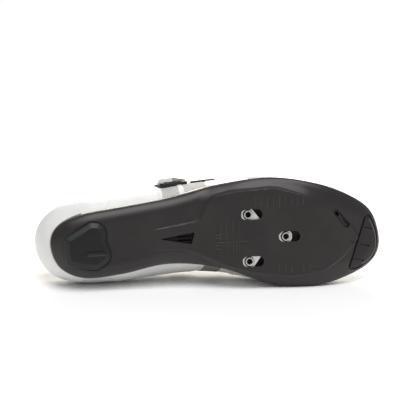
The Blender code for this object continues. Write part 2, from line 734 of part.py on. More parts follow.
def strap_rows(lateral_x, top_x, lateral_rise, medial_rise):
    """A strap's rows, from its lateral end over the throat to its medial end, square to the foot."""
    across = np.array((-0.5, -0.17, 0.17, 0.5)) * STRAP_WIDTH
    rows = []
    for share in np.linspace(0, 1, 8):
        rise = lateral_rise + (1 - lateral_rise) * share
        x = lateral_x + (top_x - lateral_x) * share + across
        rows.append(off_wall(turn_at(x, rise, False), rise, STRAP_GAP))
    ahead = turn_at(top_x + across, 1.0, False)
    rows += [bridge(ahead, share, STRAP_GAP) for share in (0.2, 0.4, 0.6, 0.8)]
    for rise in np.linspace(1, medial_rise, 9):
        rows.append(off_wall(turn_at(top_x + across, rise, True), rise, STRAP_GAP))
    return rows


def build_straps(shoe):
    """The buckle's strap over the instep and the strap over the forefoot."""
    look = ((0.85, 0.85, 0.84), 0.45)
    for name, places in (
        ("instep_strap", (BUCKLE_X, INSTEP_STRAP_X, 0.66, 0.72)),
        ("forefoot_strap", (ANCHOR_X, FOREFOOT_STRAP_X, 0.63, 0.74)),
    ):
        strap = shoe.part(name, loft(strap_rows(*places), closed_rows=False), "fabric", look, closed=False)
        thicken(strap, STRAP_THICKNESS, 1)


def wall_frame(x, rise):
    """A place on the wall's lateral side, and its frame: forwards, up the wall and outwards."""
    turn = turn_at(np.array(x), rise, False)
    along, up = wall_slopes(turn, rise)
    normal = np.cross(along, up)
    normal /= np.linalg.norm(normal)
    forward = along - normal * (along @ normal)
    forward /= np.linalg.norm(forward)
    return wall(turn, rise), np.stack([forward, np.cross(normal, forward), normal])


def seated(x, rise, flat, lift):
    """Wall points, lifted, that lie over points of the tangent plane at a place on the wall."""
    centre, frame = wall_frame(x, rise)
    turns, rises = np.full(len(flat), turn_at(np.array(x), rise, False)), np.full(len(flat), rise)
    for _ in range(8):
        along, up = wall_slopes(turns, rises)
        left = flat - (wall(turns, rises) - centre) @ frame[:2].T
        a, b = along @ frame[:2].T, up @ frame[:2].T
        scale = a[:, 0] * b[:, 1] - a[:, 1] * b[:, 0]
        turns = turns + (left[:, 0] * b[:, 1] - left[:, 1] * b[:, 0]) / scale
        rises = rises + (a[:, 0] * left[:, 1] - a[:, 1] * left[:, 0]) / scale
    return off_wall(turns, rises, lift)


def rounded_box(length, width, corner, steps=4):
    """A rounded rectangle about its middle, counterclockwise."""
    points = []
    for quarter, (sx, sy) in enumerate(((1, -1), (1, 1), (-1, 1), (-1, -1))):
        for step in range(steps):
            angle = math.radians(-90 + 90 * quarter + 90 * step / (steps - 1))
            x = sx * (length / 2 - corner) + corner * math.cos(angle)
            points.append((x, sy * (width / 2 - corner) + corner * math.sin(angle)))
    return np.array(points)


def wall_pad(x, rise, shape, height, flat_top):
    """A piece that sits on the wall: its underside follows the wall, its top is flat or follows it too."""
    centre, frame = wall_frame(x, rise)
    rows = [seated(x, rise, shape * share, WALL_GAP) for share in (0.0, 0.5, 1.0)]
    for share, inset in ((1.0, 0.35), (0.93, 0.0), (0.5, 0.0), (0.0, 0.0)):
        level = height * (1 - inset)
        if flat_top:
            plane = centre + (shape * share) @ frame[:2]
            rows.append(plane + frame[2] * level)
        else:
            rows.append(seated(x, rise, shape * share, WALL_GAP + level))
    return loft(rows)


def build_buckle(shoe):
    """The ratchet buckle on the lateral side: its base on the wall, a cap and the release lever."""
    shape = rounded_box(BUCKLE_LENGTH, BUCKLE_WIDTH, 4 * MM)
    base = wall_pad(BUCKLE_X, BUCKLE_RISE, shape, BUCKLE_BASE, flat_top=True)
    shoe.part("buckle_base", base, "plastic", ((0.015, 0.015, 0.016), 0.4))
    centre, frame = wall_frame(BUCKLE_X, BUCKLE_RISE)
    place = Matrix([(*axis, 0) for axis in frame] + [(0, 0, 0, 1)]).transposed()
    place.translation = Vector(centre)
    low, high = BUCKLE_BASE + SEAT_GAP, BUCKLE_HEIGHT
    split = -0.04 * BUCKLE_LENGTH
    width = BUCKLE_WIDTH - 3 * MM
    back, front = -0.40 * BUCKLE_LENGTH, 0.46 * BUCKLE_LENGTH
    cap = bmesh.new()
    middle = ((back + split) / 2, 0, (low + high) / 2)
    for vert in block(cap, (split - back, width, high - low), middle):
        if vert.co.z > low + SEAT_GAP and vert.co.x < split - SEAT_GAP:
            vert.co.x += 0.12 * BUCKLE_LENGTH
    lever = bmesh.new()
    start = split + SEAT_GAP
    middle = ((start + front) / 2, 0, (low + high) / 2)
    for vert in block(lever, (front - start, width - 2 * MM, high - low), middle):
        if vert.co.z > low + SEAT_GAP and vert.co.x > start + SEAT_GAP:
            vert.co.z = low + 0.25 * (high - low)
    for name, bm, look in (
        ("buckle_cap", cap, ((0.85, 0.85, 0.84), 0.3)),
        ("buckle_lever", lever, ((0.30, 0.30, 0.26), 0.3)),
    ):
        bmesh.ops.transform(bm, matrix=place, verts=bm.verts[:])
        piece = shoe.part(name, bm, "plastic", look)
        edges = piece.modifiers.new("edges", "BEVEL")
        edges.width = 0.8 * MM
        edges.segments = 2


def build_strap_anchor(shoe):
    """The dark plate at the forefoot strap's lateral end."""
    shape = rounded_box(ANCHOR_LENGTH, ANCHOR_WIDTH, 3 * MM)
    plate = wall_pad(ANCHOR_X, ANCHOR_RISE, shape, ANCHOR_HEIGHT, flat_top=False)
    shoe.part("strap_anchor", plate, "plastic", ((0.015, 0.015, 0.016), 0.4))


def holds(face, centre):
    """Whether a weight at centre would rest on this face of the hull without tipping over an edge."""
    return all(
        (loop.link_loop_next.vert.co - loop.vert.co).cross(centre - loop.vert.co).dot(face.normal) >= 0
        for loop in face.loops
    )


def lay_down(shoe):
    """Turns the stance so that the shoe rests on its medial side, on the face of its hull that holds it."""
    graph = bpy.context.evaluated_depsgraph_get()
    hull, mass, moment = bmesh.new(), 0.0, Vector()
    for name, finish in shoe.finishes.items():
        seen = bpy.data.objects[name].evaluated_get(graph)
        mesh = seen.to_mesh()
        mesh.calc_loop_triangles()
        for triangle in mesh.loop_triangles:
            a, b, c = (mesh.vertices[i].co for i in triangle.vertices)
            piece = DENSITY[finish] * a.dot(b.cross(c)) / 6
            mass += piece
            moment += piece * (a + b + c) / 4
        for vert in mesh.vertices:
            hull.verts.new(vert.co)
        seen.to_mesh_clear()
    centre = moment / mass
    bmesh.ops.convex_hull(hull, input=hull.verts[:])
    medial = Vector((0, 1, 0))
    sides = [face for face in hull.faces if face.normal.dot(medial) > 0.6 and holds(face, centre)]
    side = min(sides, key=lambda face: (face.verts[0].co - centre).dot(face.normal))
    up = -side.normal
    ahead = Vector((1, 0, 0))
    ahead = (ahead - up * ahead.dot(up)).normalized()
    turn = Matrix((ahead, up.cross(ahead), up))
    points = np.array([turn @ vert.co for vert in hull.verts if vert.link_faces])
    hull.free()
    low, high = points.min(0), points.max(0)
    shift = Vector((-(low[0] + high[0]) / 2, -(low[1] + high[1]) / 2, -low[2]))
    shoe.stance.matrix_world = Matrix.Translation(shift) @ turn.to_4x4()
    bpy.context.view_layer.update()


def main():
    shoe = Shoe()
    outsole = build_outsole(shoe)
    build_heel_pad(shoe, outsole)
    build_toe_bumper(shoe, outsole)
    build_toe_vent(shoe, outsole)
    build_arch_vent(shoe)
    build_cleat_plate(shoe)
    build_insole(shoe)
    build_upper(shoe)
    build_heel_counter(shoe)
    build_tongue(shoe)
    build_straps(shoe)
    build_buckle(shoe)
    build_strap_anchor(shoe)
    bpy.context.view_layer.update()
    lay_down(shoe)


main()
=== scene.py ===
import json
import math
import bmesh
import bpy
import numpy as np
from mathutils import Matrix, Vector


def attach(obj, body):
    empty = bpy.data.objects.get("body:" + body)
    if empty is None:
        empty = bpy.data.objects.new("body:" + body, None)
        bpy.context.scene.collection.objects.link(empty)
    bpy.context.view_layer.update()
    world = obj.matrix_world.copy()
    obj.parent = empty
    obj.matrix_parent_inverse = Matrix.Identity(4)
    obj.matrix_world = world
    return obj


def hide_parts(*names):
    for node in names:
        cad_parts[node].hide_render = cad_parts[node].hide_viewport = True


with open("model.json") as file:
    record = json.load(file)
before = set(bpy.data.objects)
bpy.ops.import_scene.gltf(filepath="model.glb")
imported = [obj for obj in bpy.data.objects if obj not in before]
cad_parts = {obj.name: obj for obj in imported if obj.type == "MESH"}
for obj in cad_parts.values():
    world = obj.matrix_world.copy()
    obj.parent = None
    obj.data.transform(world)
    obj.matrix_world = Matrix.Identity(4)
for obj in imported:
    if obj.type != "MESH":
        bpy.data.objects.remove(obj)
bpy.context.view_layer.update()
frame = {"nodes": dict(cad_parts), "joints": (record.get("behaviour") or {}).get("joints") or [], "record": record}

mm = 0.001

# The shoe's own frame, as it stands: x to the toe, y to the medial side, z up from the treads.
# It is found from the cleat seat's place and normal, and the way that the cleat plate slides.
cleatSeat = next(m for m in frame["record"]["mounts"] if m["name"] == "cleat_seat")
seatPlace = np.array((175, 0, 0)) * mm
shoeUp = -np.array(cleatSeat["axis"])
shoeSide = np.cross(shoeUp, frame["joints"][0]["axis"])
shoeSide /= np.linalg.norm(shoeSide)
shoeAxes = np.stack([np.cross(shoeSide, shoeUp), shoeSide, shoeUp], 1)
shoeOrigin = np.array(cleatSeat["pos_m"]) - shoeAxes @ seatPlace


def toWorld(points):  # turned by the shoe's axes, then moved to its origin
    return points @ shoeAxes.T + shoeOrigin


# Camera, floor and lights
camera = {
    "place": (-120.8, -107.7, -1458.6),  # in the shoe's frame, mm
    "aim": (131.2, -25.4, 18.0),
    "up": (0.0465, -0.9970, 0.0626),
    "lens": 157.4,
}
studio = {
    "floor": (0.97, 0.97, 0.97),
    "floorSize": 30,
    "sky": 0.42,
    "sun": (2.2, 50, (0.10, -0.42, 1.0)),  # strength, angle, where it stands
    "lamps": (  # name, place, aim, size, watts, colour
        ("behind", (0.15, 1.3, 0.62), (0.05, 0, 0.06), 0.9, 17.5, (1.0, 0.94, 0.83)),
    ),
}


def lookAlong(direction, up):  # columns: right, up, back
    back = -direction / np.linalg.norm(direction)
    right = np.cross(up, back)
    right /= np.linalg.norm(right)
    return np.stack([right, np.cross(back, right), back], 1)


def addObject(name, data, place, axes):
    obj = bpy.data.objects.new(name, data)
    bpy.context.scene.collection.objects.link(obj)
    turn = Matrix([list(row) for row in axes]).to_4x4()
    obj.matrix_world = Matrix.Translation(Vector(place)) @ turn
    return obj


def buildStudio():
    scene = bpy.context.scene
    scene.view_settings.view_transform = "Standard"
    place, aim = (toWorld(np.array(camera[key]) * mm) for key in ("place", "aim"))
    lens = bpy.data.cameras.new("camera")
    lens.lens = camera["lens"]
    lens.clip_start, lens.clip_end = 0.05, 20
    axes = lookAlong(aim - place, shoeAxes @ np.array(camera["up"]))
    scene.camera = addObject("camera", lens, place, axes)

    bm = bmesh.new()
    bmesh.ops.create_grid(bm, x_segments=1, y_segments=1, size=studio["floorSize"])
    mesh = bpy.data.meshes.new("floor")
    bm.to_mesh(mesh)
    bm.free()
    floor = addObject("floor", mesh, (0, 0, -0.0002), np.eye(3))
    made = bpy.data.materials.new("floor")
    made.use_nodes = True
    shader = made.node_tree.nodes["Principled BSDF"]
    shader.inputs["Base Color"].default_value = (*studio["floor"], 1)
    shader.inputs["Roughness"].default_value = 0.9
    shader.inputs["Specular IOR Level"].default_value = 0.1
    mesh.materials.append(made)

    world = bpy.data.worlds.new("studio")
    world.use_nodes = True
    world.node_tree.nodes["Background"].inputs["Color"].default_value = (1, 1, 1, 1)
    world.node_tree.nodes["Background"].inputs["Strength"].default_value = studio["sky"]
    scene.world = world
    strength, angle, direction = studio["sun"]
    sun = bpy.data.lights.new("softbox", "SUN")
    sun.energy, sun.angle = strength, math.radians(angle)
    addObject("softbox", sun, direction, lookAlong(-np.array(direction), np.array((0.0, 1.0, 0.0))))
    for name, place, aim, size, watts, colour in studio["lamps"]:
        lamp = bpy.data.lights.new(name, "AREA")
        lamp.shape, lamp.size, lamp.energy, lamp.color = "DISK", size, watts, colour
        direction = np.subtract(aim, place)
        addObject(name, lamp, place, lookAlong(direction, np.array((0.0, 0.3, 1.0))))
    print("studio ready")


buildStudio()

# The last that every piece follows. A turn runs round the shoe: 0 at the heel tip, 1 at the toe tip by
# the lateral side, and on to 2 by the medial side. A rise runs up the wall, 0 at the sole to 1 at the top.
last = {
    "length": 278 * mm,
    "ballWidth": 92 * mm,
    "toeSpring": 23 * mm,
    "instepHeight": 76 * mm,
    "collarWidth": 60 * mm,
    "bulge": 20 * mm,
    "collarBack": -3 * mm,
    "throatFront": 200 * mm,
    "footInset": 4.5 * mm,
    "fullness": 0.6,
    "throatCrown": 6 * mm,
    "spineShare": 0.8,
    "outlineLateral": (-0.022, -0.180, -0.276, -0.326, -0.387, -0.488, -0.532, -0.463, -0.335, -0.172, 0.087),
    "outlineMedial": (-0.022, 0.190, 0.292, 0.272, 0.205, 0.261, 0.430, 0.453, 0.376, 0.262, 0.087),
    "topLateral": (-0.03, -0.25, -0.42, -0.50, -0.48, -0.36, -0.27, -0.23, -0.18, -0.12, -0.05),
    "topMedial": (-0.03, 0.20, 0.37, 0.45, 0.43, 0.31, 0.20, 0.14, 0.08, 0.02, -0.05),
    "topHeight": (0.90, 0.87, 0.79, 0.73, 0.79, 0.98, 0.96, 0.86, 0.76, 0.70, 0.67),
    "cornerLateral": (1.10, 1.20, 1.30, 1.08, 1.15, 0.80, 0.72, 0.70, 0.60, 0.48, 0.40),
    "cornerMedial": (1.10, 1.00, 0.88, 0.95, 1.15, 0.85, 0.30, 0.45, 0.55, 0.48, 0.40),
    "cornerHeight": (0.55, 0.55, 0.53, 0.53, 0.63, 0.80, 0.74, 0.64, 0.60, 0.64, 0.68),
    "along": (0.00, 0.06, 0.12, 0.22, 0.30, 0.38, 0.45, 0.51, 0.57, 0.75, 0.80, 0.87, 0.94, 1.00),
    "bottom": (0.45, 0.19, 0.13, 0.13, 0.18, 0.24, 0.20, 0.10, 0.00, 0.00, 0.08, 0.30, 0.58, 0.90),
    "rim": (0.62, 0.55, 0.52, 0.52, 0.58, 0.67, 0.63, 0.53, 0.42, 0.38, 0.42, 0.63, 0.92, 1.19),
}
sole = {
    "deckRise": 1.2 * mm,
    "lipDepth": 2.5 * mm,
    "roundStart": 0.62,
    "roundTop": 1.6 * mm,
    "wallGap": 0.4 * mm,
    "channel": (1.1 * mm, 6.5 * mm, 4.5 * mm),  # depth, how far out from the deck, half width
    "channelEnds": ((0.40, 0.07), (0.86, 0.1)),  # shares of the length: both ends, each with its run-out
    "channelSide": (0.02, 0.2),  # shares of the ball width: its medial end and run-out
    "deckSlope": 1.3,
    "blend": 0.2 * mm,
    "columns": 600,
    "slot": (18 * mm, 8.6 * mm, 2.1 * mm),  # length, width, how far it starts behind its boss
    "rearBolt": 161.6 * mm,
    "boltSpread": 38.6 * mm,
    "boltReach": 31.1 * mm,
}
deckEdge = {  # shares of the length, and of the ball width
    "lateralAlong": (0.288, 0.435, 0.471, 0.540, 0.662, 0.745, 0.842, 0.900, 0.920),
    "lateral": (-0.103, -0.163, -0.376, -0.417, -0.435, -0.366, -0.198, -0.065, 0.022),
    "medialAlong": (0.288, 0.392, 0.452, 0.511, 0.597, 0.716, 0.810, 0.863, 0.920),
    "medial": (0.063, 0.073, 0.145, 0.232, 0.313, 0.357, 0.320, 0.223, 0.065),
    "round": 6 * mm,
    "tail": (0.29, 0.38),  # the stretch over which the spine rises out of the sole
}


def smooth(knots, values, at):
    # a cubic through the knots whose slope at each is the harmonic mean of its neighbours', or 0 at a turn
    knots, values = np.asarray(knots, float), np.asarray(values, float)
    at = np.clip(at, knots[0], knots[-1])
    step = np.diff(knots)
    slope = np.diff(values) / step
    product, total = slope[:-1] * slope[1:], slope[:-1] + slope[1:]
    inner = np.where(product > 0, 2 * product / np.where(product > 0, total, 1), 0)
    tangent = np.concatenate([[slope[0]], inner, [slope[-1]]])
    i = np.clip(np.searchsorted(knots, at, side="right") - 1, 0, len(step) - 1)
    t = (at - knots[i]) / step[i]
    return (
        (2 * t**3 - 3 * t**2 + 1) * values[i]
        + (t**3 - 2 * t**2 + t) * step[i] * tangent[i]
        + (3 * t**2 - 2 * t**3) * values[i + 1]
        + (t**3 - t**2) * step[i] * tangent[i + 1]
    )


def around(lateral, medial, turn):
    # a closed cubic through the lateral column and back through the medial one, at equal steps of turn
    values = np.array([*lateral, *medial[-2:0:-1]])
    place = np.mod(turn, 2) / 2 * len(values)
    i = np.floor(place).astype(int)
    t = place - i
    before, start, end, after = (values[(i + k) % len(values)] for k in (-1, 0, 1, 2))
    return (
        start
        + t * (end - before) / 2
        + t**2 * (before - 2.5 * start + 2 * end - 0.5 * after)
        + t**3 * (1.5 * (start - end) + 0.5 * (after - before))
    )


def evenTurns(count):  # all the way round the shoe
    return np.arange(count) / count * 2


def outline(turn):  # x follows a cosine from heel to toe, y the outline columns
    x = last["length"] * (1 - np.cos(np.pi * turn)) / 2
    return np.stack([x, last["ballWidth"] * around(last["outlineLateral"], last["outlineMedial"], turn)], -1)


def outward(turn):  # the outline's unit normal
    step = outline(turn + 0.005) - outline(turn - 0.005)
    normal = np.stack([step[..., 1], -step[..., 0]], -1)
    return normal / np.linalg.norm(normal, axis=-1, keepdims=True)


def bottomHeight(x):
    return sole["deckRise"] + last["toeSpring"] * smooth(last["along"], last["bottom"], x / last["length"])


def rimHeight(x):
    return sole["deckRise"] + last["toeSpring"] * smooth(last["along"], last["rim"], x / last["length"])


def trayHeight(x):
    return rimHeight(x) - sole["lipDepth"]


def raised(flat, height):
    return np.concatenate([flat, np.broadcast_to(height, flat.shape[:-1])[..., None]], -1)


def ring(turn, reach):  # a share of the way from the sole's middle line to its outline
    edge = outline(turn)
    middle = (edge + outline(2 - turn)) / 2
    middle[..., 0] = last["length"] / 2 + last["spineShare"] * (middle[..., 0] - last["length"] / 2)
    return middle + (edge - middle) * np.asarray(reach)[..., None]


def hull(turn, reach):
    # flat across the middle; past roundStart it rises like a quarter circle to the foot of the rim
    flat = ring(turn, reach)
    share = np.clip((reach - sole["roundStart"]) / (1 - sole["roundStart"]), 0, 1)
    low = bottomHeight(flat[..., 0])
    high = rimHeight(flat[..., 0]) - sole["roundTop"]
    return raised(flat, low + (high - low) * (1 - np.sqrt(1 - share**2)))


def edgeDistance(points, x, y):
    # signed distance in the plan to a closed outline, negative inside: least distance to its sides
    place = np.stack([x, y], -1)[..., None, :]
    start, end = points, np.roll(points, -1, 0)
    side = end - start
    share = np.clip(((place - start) * side).sum(-1) / (side**2).sum(-1), 0, 1)
    far = np.linalg.norm(place - start - share[..., None] * side, axis=-1).min(-1)
    above = (start[:, 1] > place[..., 1]) != (end[:, 1] > place[..., 1])
    drop = np.where(side[:, 1] == 0, 1e-12, side[:, 1])
    crossing = start[:, 0] + side[:, 0] * (place[..., 1] - start[:, 1]) / drop
    inside = (above & (place[..., 0] < crossing)).sum(-1) % 2 == 1
    return np.where(inside, -far, far)


def softLow(a, b, blend):  # the lower of two heights, with a rounded corner of the blend's size
    mix = np.clip(0.5 + 0.5 * (b - a) / blend, 0, 1)
    return b + (a - b) * mix - blend * mix * (1 - mix)


def onPlan(shares):  # points given as shares of the length and of the ball width
    return np.array(shares) * (last["length"], last["ballWidth"])


def deckPoints():
    lateral = np.stack([deckEdge["lateralAlong"], deckEdge["lateral"]], -1)
    medial = np.stack([deckEdge["medialAlong"], deckEdge["medial"]], -1)
    return rounded(onPlan(np.concatenate([lateral, medial[::-1]])), deckEdge["round"])


def underside(turn, reach):
    # the hull with a channel sunk beside the deck, and the deck's flat with sloping sides laid over it
    point = hull(turn, reach)
    x, y = point[..., 0], point[..., 1]
    away = edgeDistance(deckPoints(), x, y)
    depth, far, half = sole["channel"]
    middle, fade = np.array(sole["channelSide"]) * last["ballWidth"]
    lateral = np.clip((middle - y) / fade, 0, 1)
    (rear, rearFade), (front, frontFade) = sole["channelEnds"]
    along = x / last["length"]
    ball = np.clip((along - rear) / rearFade, 0, 1) * np.clip((front - along) / frontFade, 0, 1)
    point[..., 2] += depth * np.exp(-(((away - far) / half) ** 2)) * lateral * ball * (reach < 0.999)
    start, end = deckEdge["tail"]
    rise = sole["deckRise"] * np.clip((along - start) / (end - start), -0.3, 1)
    deckHeight = bottomHeight(x) - rise + sole["deckSlope"] * np.maximum(away, 0)
    point[..., 2] = softLow(point[..., 2], deckHeight, sole["blend"])
    return point


def footLine(turn):
    flat = outline(turn) - last["footInset"] * outward(turn)
    return raised(flat, trayHeight(flat[..., 0]) + 0.3 * mm)


def topLine(turn):
    x = last["collarBack"] + (last["throatFront"] - last["collarBack"]) * (1 - np.cos(np.pi * turn)) / 2
    y = last["collarWidth"] * around(last["topLateral"], last["topMedial"], turn)
    z = last["instepHeight"] * around(last["topHeight"], last["topHeight"], turn)
    return np.stack([x, y, z], -1)


def wall(turn, rise):
    # at each turn a cubic from the foot line to the top line, pulled towards a corner outside the sole
    turn, rise = np.broadcast_arrays(np.asarray(turn, float), np.asarray(rise, float))
    base, top = footLine(turn), topLine(turn)
    stand = last["bulge"] * around(last["cornerLateral"], last["cornerMedial"], turn)
    height = last["instepHeight"] * around(last["cornerHeight"], last["cornerHeight"], turn)
    corner = raised(outline(turn) + stand[..., None] * outward(turn), height)
    near, far = base + last["fullness"] * (corner - base), top + last["fullness"] * (corner - top)
    up = rise[..., None]
    down = 1 - up
    return down**3 * base + 3 * down**2 * up * near + 3 * down * up**2 * far + up**3 * top


def wallSlopes(turn, rise):
    step = 0.002
    along = (wall(turn + step, rise) - wall(turn - step, rise)) / (2 * step)
    return along, (wall(turn, rise + step) - wall(turn, rise - step)) / (2 * step)


def offWall(turn, rise, lift):  # lifted along the wall's normal
    normal = np.cross(*wallSlopes(turn, rise))
    normal /= np.linalg.norm(normal, axis=-1, keepdims=True)
    return wall(turn, rise) + np.asarray(lift)[..., None] * normal


halvings = 24


def riseAt(turn, heightOf):  # where the wall reaches a height that depends on x, by halving
    low, high = np.zeros_like(turn), np.full_like(turn, 0.4)
    for _ in range(halvings):
        half = (low + high) / 2
        point = wall(turn, half)
        below = point[..., 2] < heightOf(point[..., 0])
        low, high = np.where(below, half, low), np.where(below, high, half)
    return low


def riseOverRim(turn, above):  # where the wall stands that far above the sole's rim
    return riseAt(np.mod(turn, 2), lambda x: rimHeight(x) + above)


def turnAt(x, rise, medial):  # the turn at which the wall passes over x, by halving
    low, high = np.full_like(x, 0.2), np.ones_like(x)
    for _ in range(halvings):
        half = (low + high) / 2
        short = wall(2 - half if medial else half, rise)[..., 0] < x
        low, high = np.where(short, half, low), np.where(short, high, half)
    return 2 - low if medial else low


def bridge(turn, share, lift):  # over the throat, from its lateral edge to its medial one, with a crown
    sides = offWall(turn, 1.0, lift), offWall(2 - turn, 1.0, lift)
    point = sides[0] + (sides[1] - sides[0]) * np.asarray(share)[..., None]
    point[..., 2] += last["throatCrown"] * 4 * share * (1 - share) * np.sin(np.pi * turn)
    return point


# Meshes

welding = {"near": 2e-6, "flat": 1e-7, "sharpAngle": math.radians(38)}


def weld(mesh, dropFlat):  # joins what coincides and turns the faces outwards
    bm = bmesh.new()
    bm.from_mesh(mesh)
    bmesh.ops.remove_doubles(bm, verts=bm.verts[:], dist=welding["near"])
    if dropFlat:
        bmesh.ops.dissolve_degenerate(bm, edges=bm.edges[:], dist=welding["flat"])
    bmesh.ops.recalc_face_normals(bm, faces=bm.faces[:])
    bm.to_mesh(mesh)
    bm.free()


def newPiece(name, mesh, finish, body, *replaced, slot):  # shades it smooth, gives it its finish, hangs it on its body and hides the parts it replaces
    weld(mesh, True)
    mesh.shade_smooth()
    mesh.set_sharp_from_angle(angle=welding["sharpAngle"])
    obj = bpy.data.objects.new(name, mesh)
    bpy.context.scene.collection.objects.link(obj)
    mesh.materials.clear()
    mesh.materials.append(finishes[finish])
    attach(obj, body)
    if replaced:
        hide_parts(*replaced)
    return obj


def meshFrom(name, points, quads, uv=None):
    # points in the shoe's frame, rows of four corners, and each corner's own UV in metres
    mesh = bpy.data.meshes.new(name)
    points = toWorld(points)
    points[:, 2] = np.maximum(points[:, 2], 0)  # pressed flat where the shoe lies on the floor
    mesh.vertices.add(len(points))
    mesh.vertices.foreach_set("co", points.astype(np.float32).ravel())
    mesh.loops.add(quads.size)
    mesh.loops.foreach_set("vertex_index", quads.astype(np.int32).ravel())
    mesh.polygons.add(len(quads))
    mesh.polygons.foreach_set("loop_start", np.arange(0, quads.size, quads.shape[1], dtype=np.int32))
    mesh.update(calc_edges=True)
    if uv is not None:
        layer = mesh.uv_layers.new(name="UVMap")
        layer.data.foreach_set("uv", uv.astype(np.float32).ravel())
    return mesh


def gridQuads(rows, columns, loopRows=False, loopColumns=False):
    i = np.arange(rows if loopRows else rows - 1)[:, None]
    j = np.arange(columns if loopColumns else columns - 1)[None]
    i, j = np.broadcast_arrays(i, j)
    nextI, nextJ = (i + 1) % rows, (j + 1) % columns
    quads = np.stack([i * columns + j, i * columns + nextJ, nextI * columns + nextJ, nextI * columns + j], -1)
    corners = np.stack([i, j, i, j + 1, i + 1, j + 1, i + 1, j], -1).reshape(-1, 4, 2)
    return quads.reshape(-1, 4), corners


def gridMesh(name, points, loopRows=False, loopColumns=False):
    # a surface through rows of points, with UVs that measure the length along each direction
    rows, columns = points.shape[:2]
    quads, corners = gridQuads(rows, columns, loopRows, loopColumns)
    across = np.linalg.norm(np.diff(points, axis=1, append=points[:, :1]), axis=-1).max(0)
    up = np.linalg.norm(np.diff(points, axis=0, append=points[:1]), axis=-1).mean(1)
    u = np.concatenate([[0], np.cumsum(across)])
    v = np.concatenate([[0], np.cumsum(up)])
    uv = np.stack([u[corners[..., 1]], v[corners[..., 0]]], -1)
    return meshFrom(name, points.reshape(-1, 3), quads, uv)


def edgeSteps(length, edge, count):
    # shares from 0 to 1 that crowd at both ends, so that a rounded border has points to follow
    border = edge * (1 - np.cos(np.linspace(0, np.pi / 2, 5))) / length
    inner = np.linspace(border[-1], 1 - border[-1], count)
    return np.concatenate([border[:-1], inner, 1 - border[::-1][1:]])


def sheetMesh(name, place, size, thickness, edge, counts, gap=0.0):
    # a sheet of even thickness whose border is rounded: half the thickness is scaled by a quarter circle
    # over the last stretch before the border. place(u, v, lift) gives the points.
    u, v = (edgeSteps(size[k], edge, counts[k]) for k in (0, 1))
    V, U = np.meshgrid(v, u)
    border = np.minimum(np.minimum(U, 1 - U) * size[0], np.minimum(V, 1 - V) * size[1])
    half = thickness / 2 * np.sqrt(np.clip(1 - (1 - np.clip(border / edge, 0, 1)) ** 2, 0, 1))
    middle = gap + thickness / 2
    high, low = place(U, V, middle + half), place(U, V, middle - half)
    rows, columns = U.shape
    quads, corners = gridQuads(rows, columns)
    points = np.concatenate([high.reshape(-1, 3), low.reshape(-1, 3)])
    quads = np.concatenate([quads, quads[:, ::-1] + rows * columns])
    uv = np.stack([u[corners[..., 0]] * size[0], v[corners[..., 1]] * size[1]], -1)
    return meshFrom(name, points, quads, np.concatenate([uv, uv[:, ::-1]]))


def rounded(corners, radius, steps=6):
    # a closed outline with each corner swapped for a curve between points at the radius from it
    def towards(side):  # but never past 0.45 of a side
        return corners + side * np.minimum(radius / np.linalg.norm(side, axis=1, keepdims=True), 0.45)

    start, end = towards(np.roll(corners, 1, 0) - corners), towards(np.roll(corners, -1, 0) - corners)
    t = np.linspace(0, 1, steps)[None, :, None]
    curve = (1 - t) ** 2 * start[:, None] + 2 * t * (1 - t) * corners[:, None] + t**2 * end[:, None]
    return curve.reshape(-1, 2)


def grown(points, distance):  # a counterclockwise outline moved outwards along its own normals
    step = np.roll(points, -1, 0) - np.roll(points, 1, 0)
    normal = np.stack([step[:, 1], -step[:, 0]], -1)
    return points + distance * normal / np.linalg.norm(normal, axis=1, keepdims=True)


def mitred(corners, distance):  # straight sides moved outwards, each corner kept where they meet
    edge = np.roll(corners, -1, 0) - corners
    normal = np.stack([edge[:, 1], -edge[:, 0]], -1)
    normal /= np.linalg.norm(normal, axis=1, keepdims=True)
    before = np.roll(normal, 1, 0)
    return corners + distance * (normal + before) / (1 + (normal * before).sum(1, keepdims=True))


def closedStack(rows):  # rings of points, shrunk to a point at both ends
    for k in (0, -1):
        centre = rows[k].mean(0)
        shrunk = centre + (rows[k] - centre) * np.array((0.0, 0.5))[:, None, None]
        rows = [*shrunk, *rows] if k == 0 else [*rows, *shrunk[::-1]]
    return np.stack(rows)


def blockMesh(name, outlinePoints, profile, place=None):
    # a plan outline carried through (inset, height) steps, closed by a fan at both ends, then placed
    points = closedStack([raised(grown(outlinePoints, -inset), height) for inset, height in profile])
    return gridMesh(name, points if place is None else place(points), loopColumns=True)


def cubicWeights(t):  # of the point before, the two that t lies between, and the one after
    return (
        (-t + 2 * t**2 - t**3) / 2,
        (2 - 5 * t**2 + 3 * t**3) / 2,
        (t + 4 * t**2 - 3 * t**3) / 2,
        (t**3 - t**2) / 2,
    )


def surfaceThrough(control):
    # a cubic surface through a grid of points: place(u, v, lift) weighs the sixteen nearest and lifts the
    # point along the normal
    rows, columns = control.shape[:2]

    def at(u, v):
        x, y = np.clip(u, 0, 1) * (rows - 1), np.clip(v, 0, 1) * (columns - 1)
        i, j = np.minimum(x.astype(int), rows - 2), np.minimum(y.astype(int), columns - 2)
        total = 0.0
        for a, first in enumerate(cubicWeights(x - i)):
            for b, second in enumerate(cubicWeights(y - j)):
                near = control[np.clip(i + a - 1, 0, rows - 1), np.clip(j + b - 1, 0, columns - 1)]
                total = total + (first * second)[..., None] * near
        return total

    def place(u, v, lift):
        step = 0.004
        normal = np.cross(at(u + step, v) - at(u - step, v), at(u, v + step) - at(u, v - step))
        normal /= np.linalg.norm(normal, axis=-1, keepdims=True)
        return at(u, v) + np.asarray(lift)[..., None] * normal

    return place


seams = {  # pitch, and each stitch's length, width and height
    "fine": (2.4 * mm, (1.6 * mm, 0.5 * mm, 0.4 * mm)),
    "strong": (2.7 * mm, (1.9 * mm, 0.6 * mm, 0.5 * mm)),
    "rings": 5,
    "sides": 6,
}


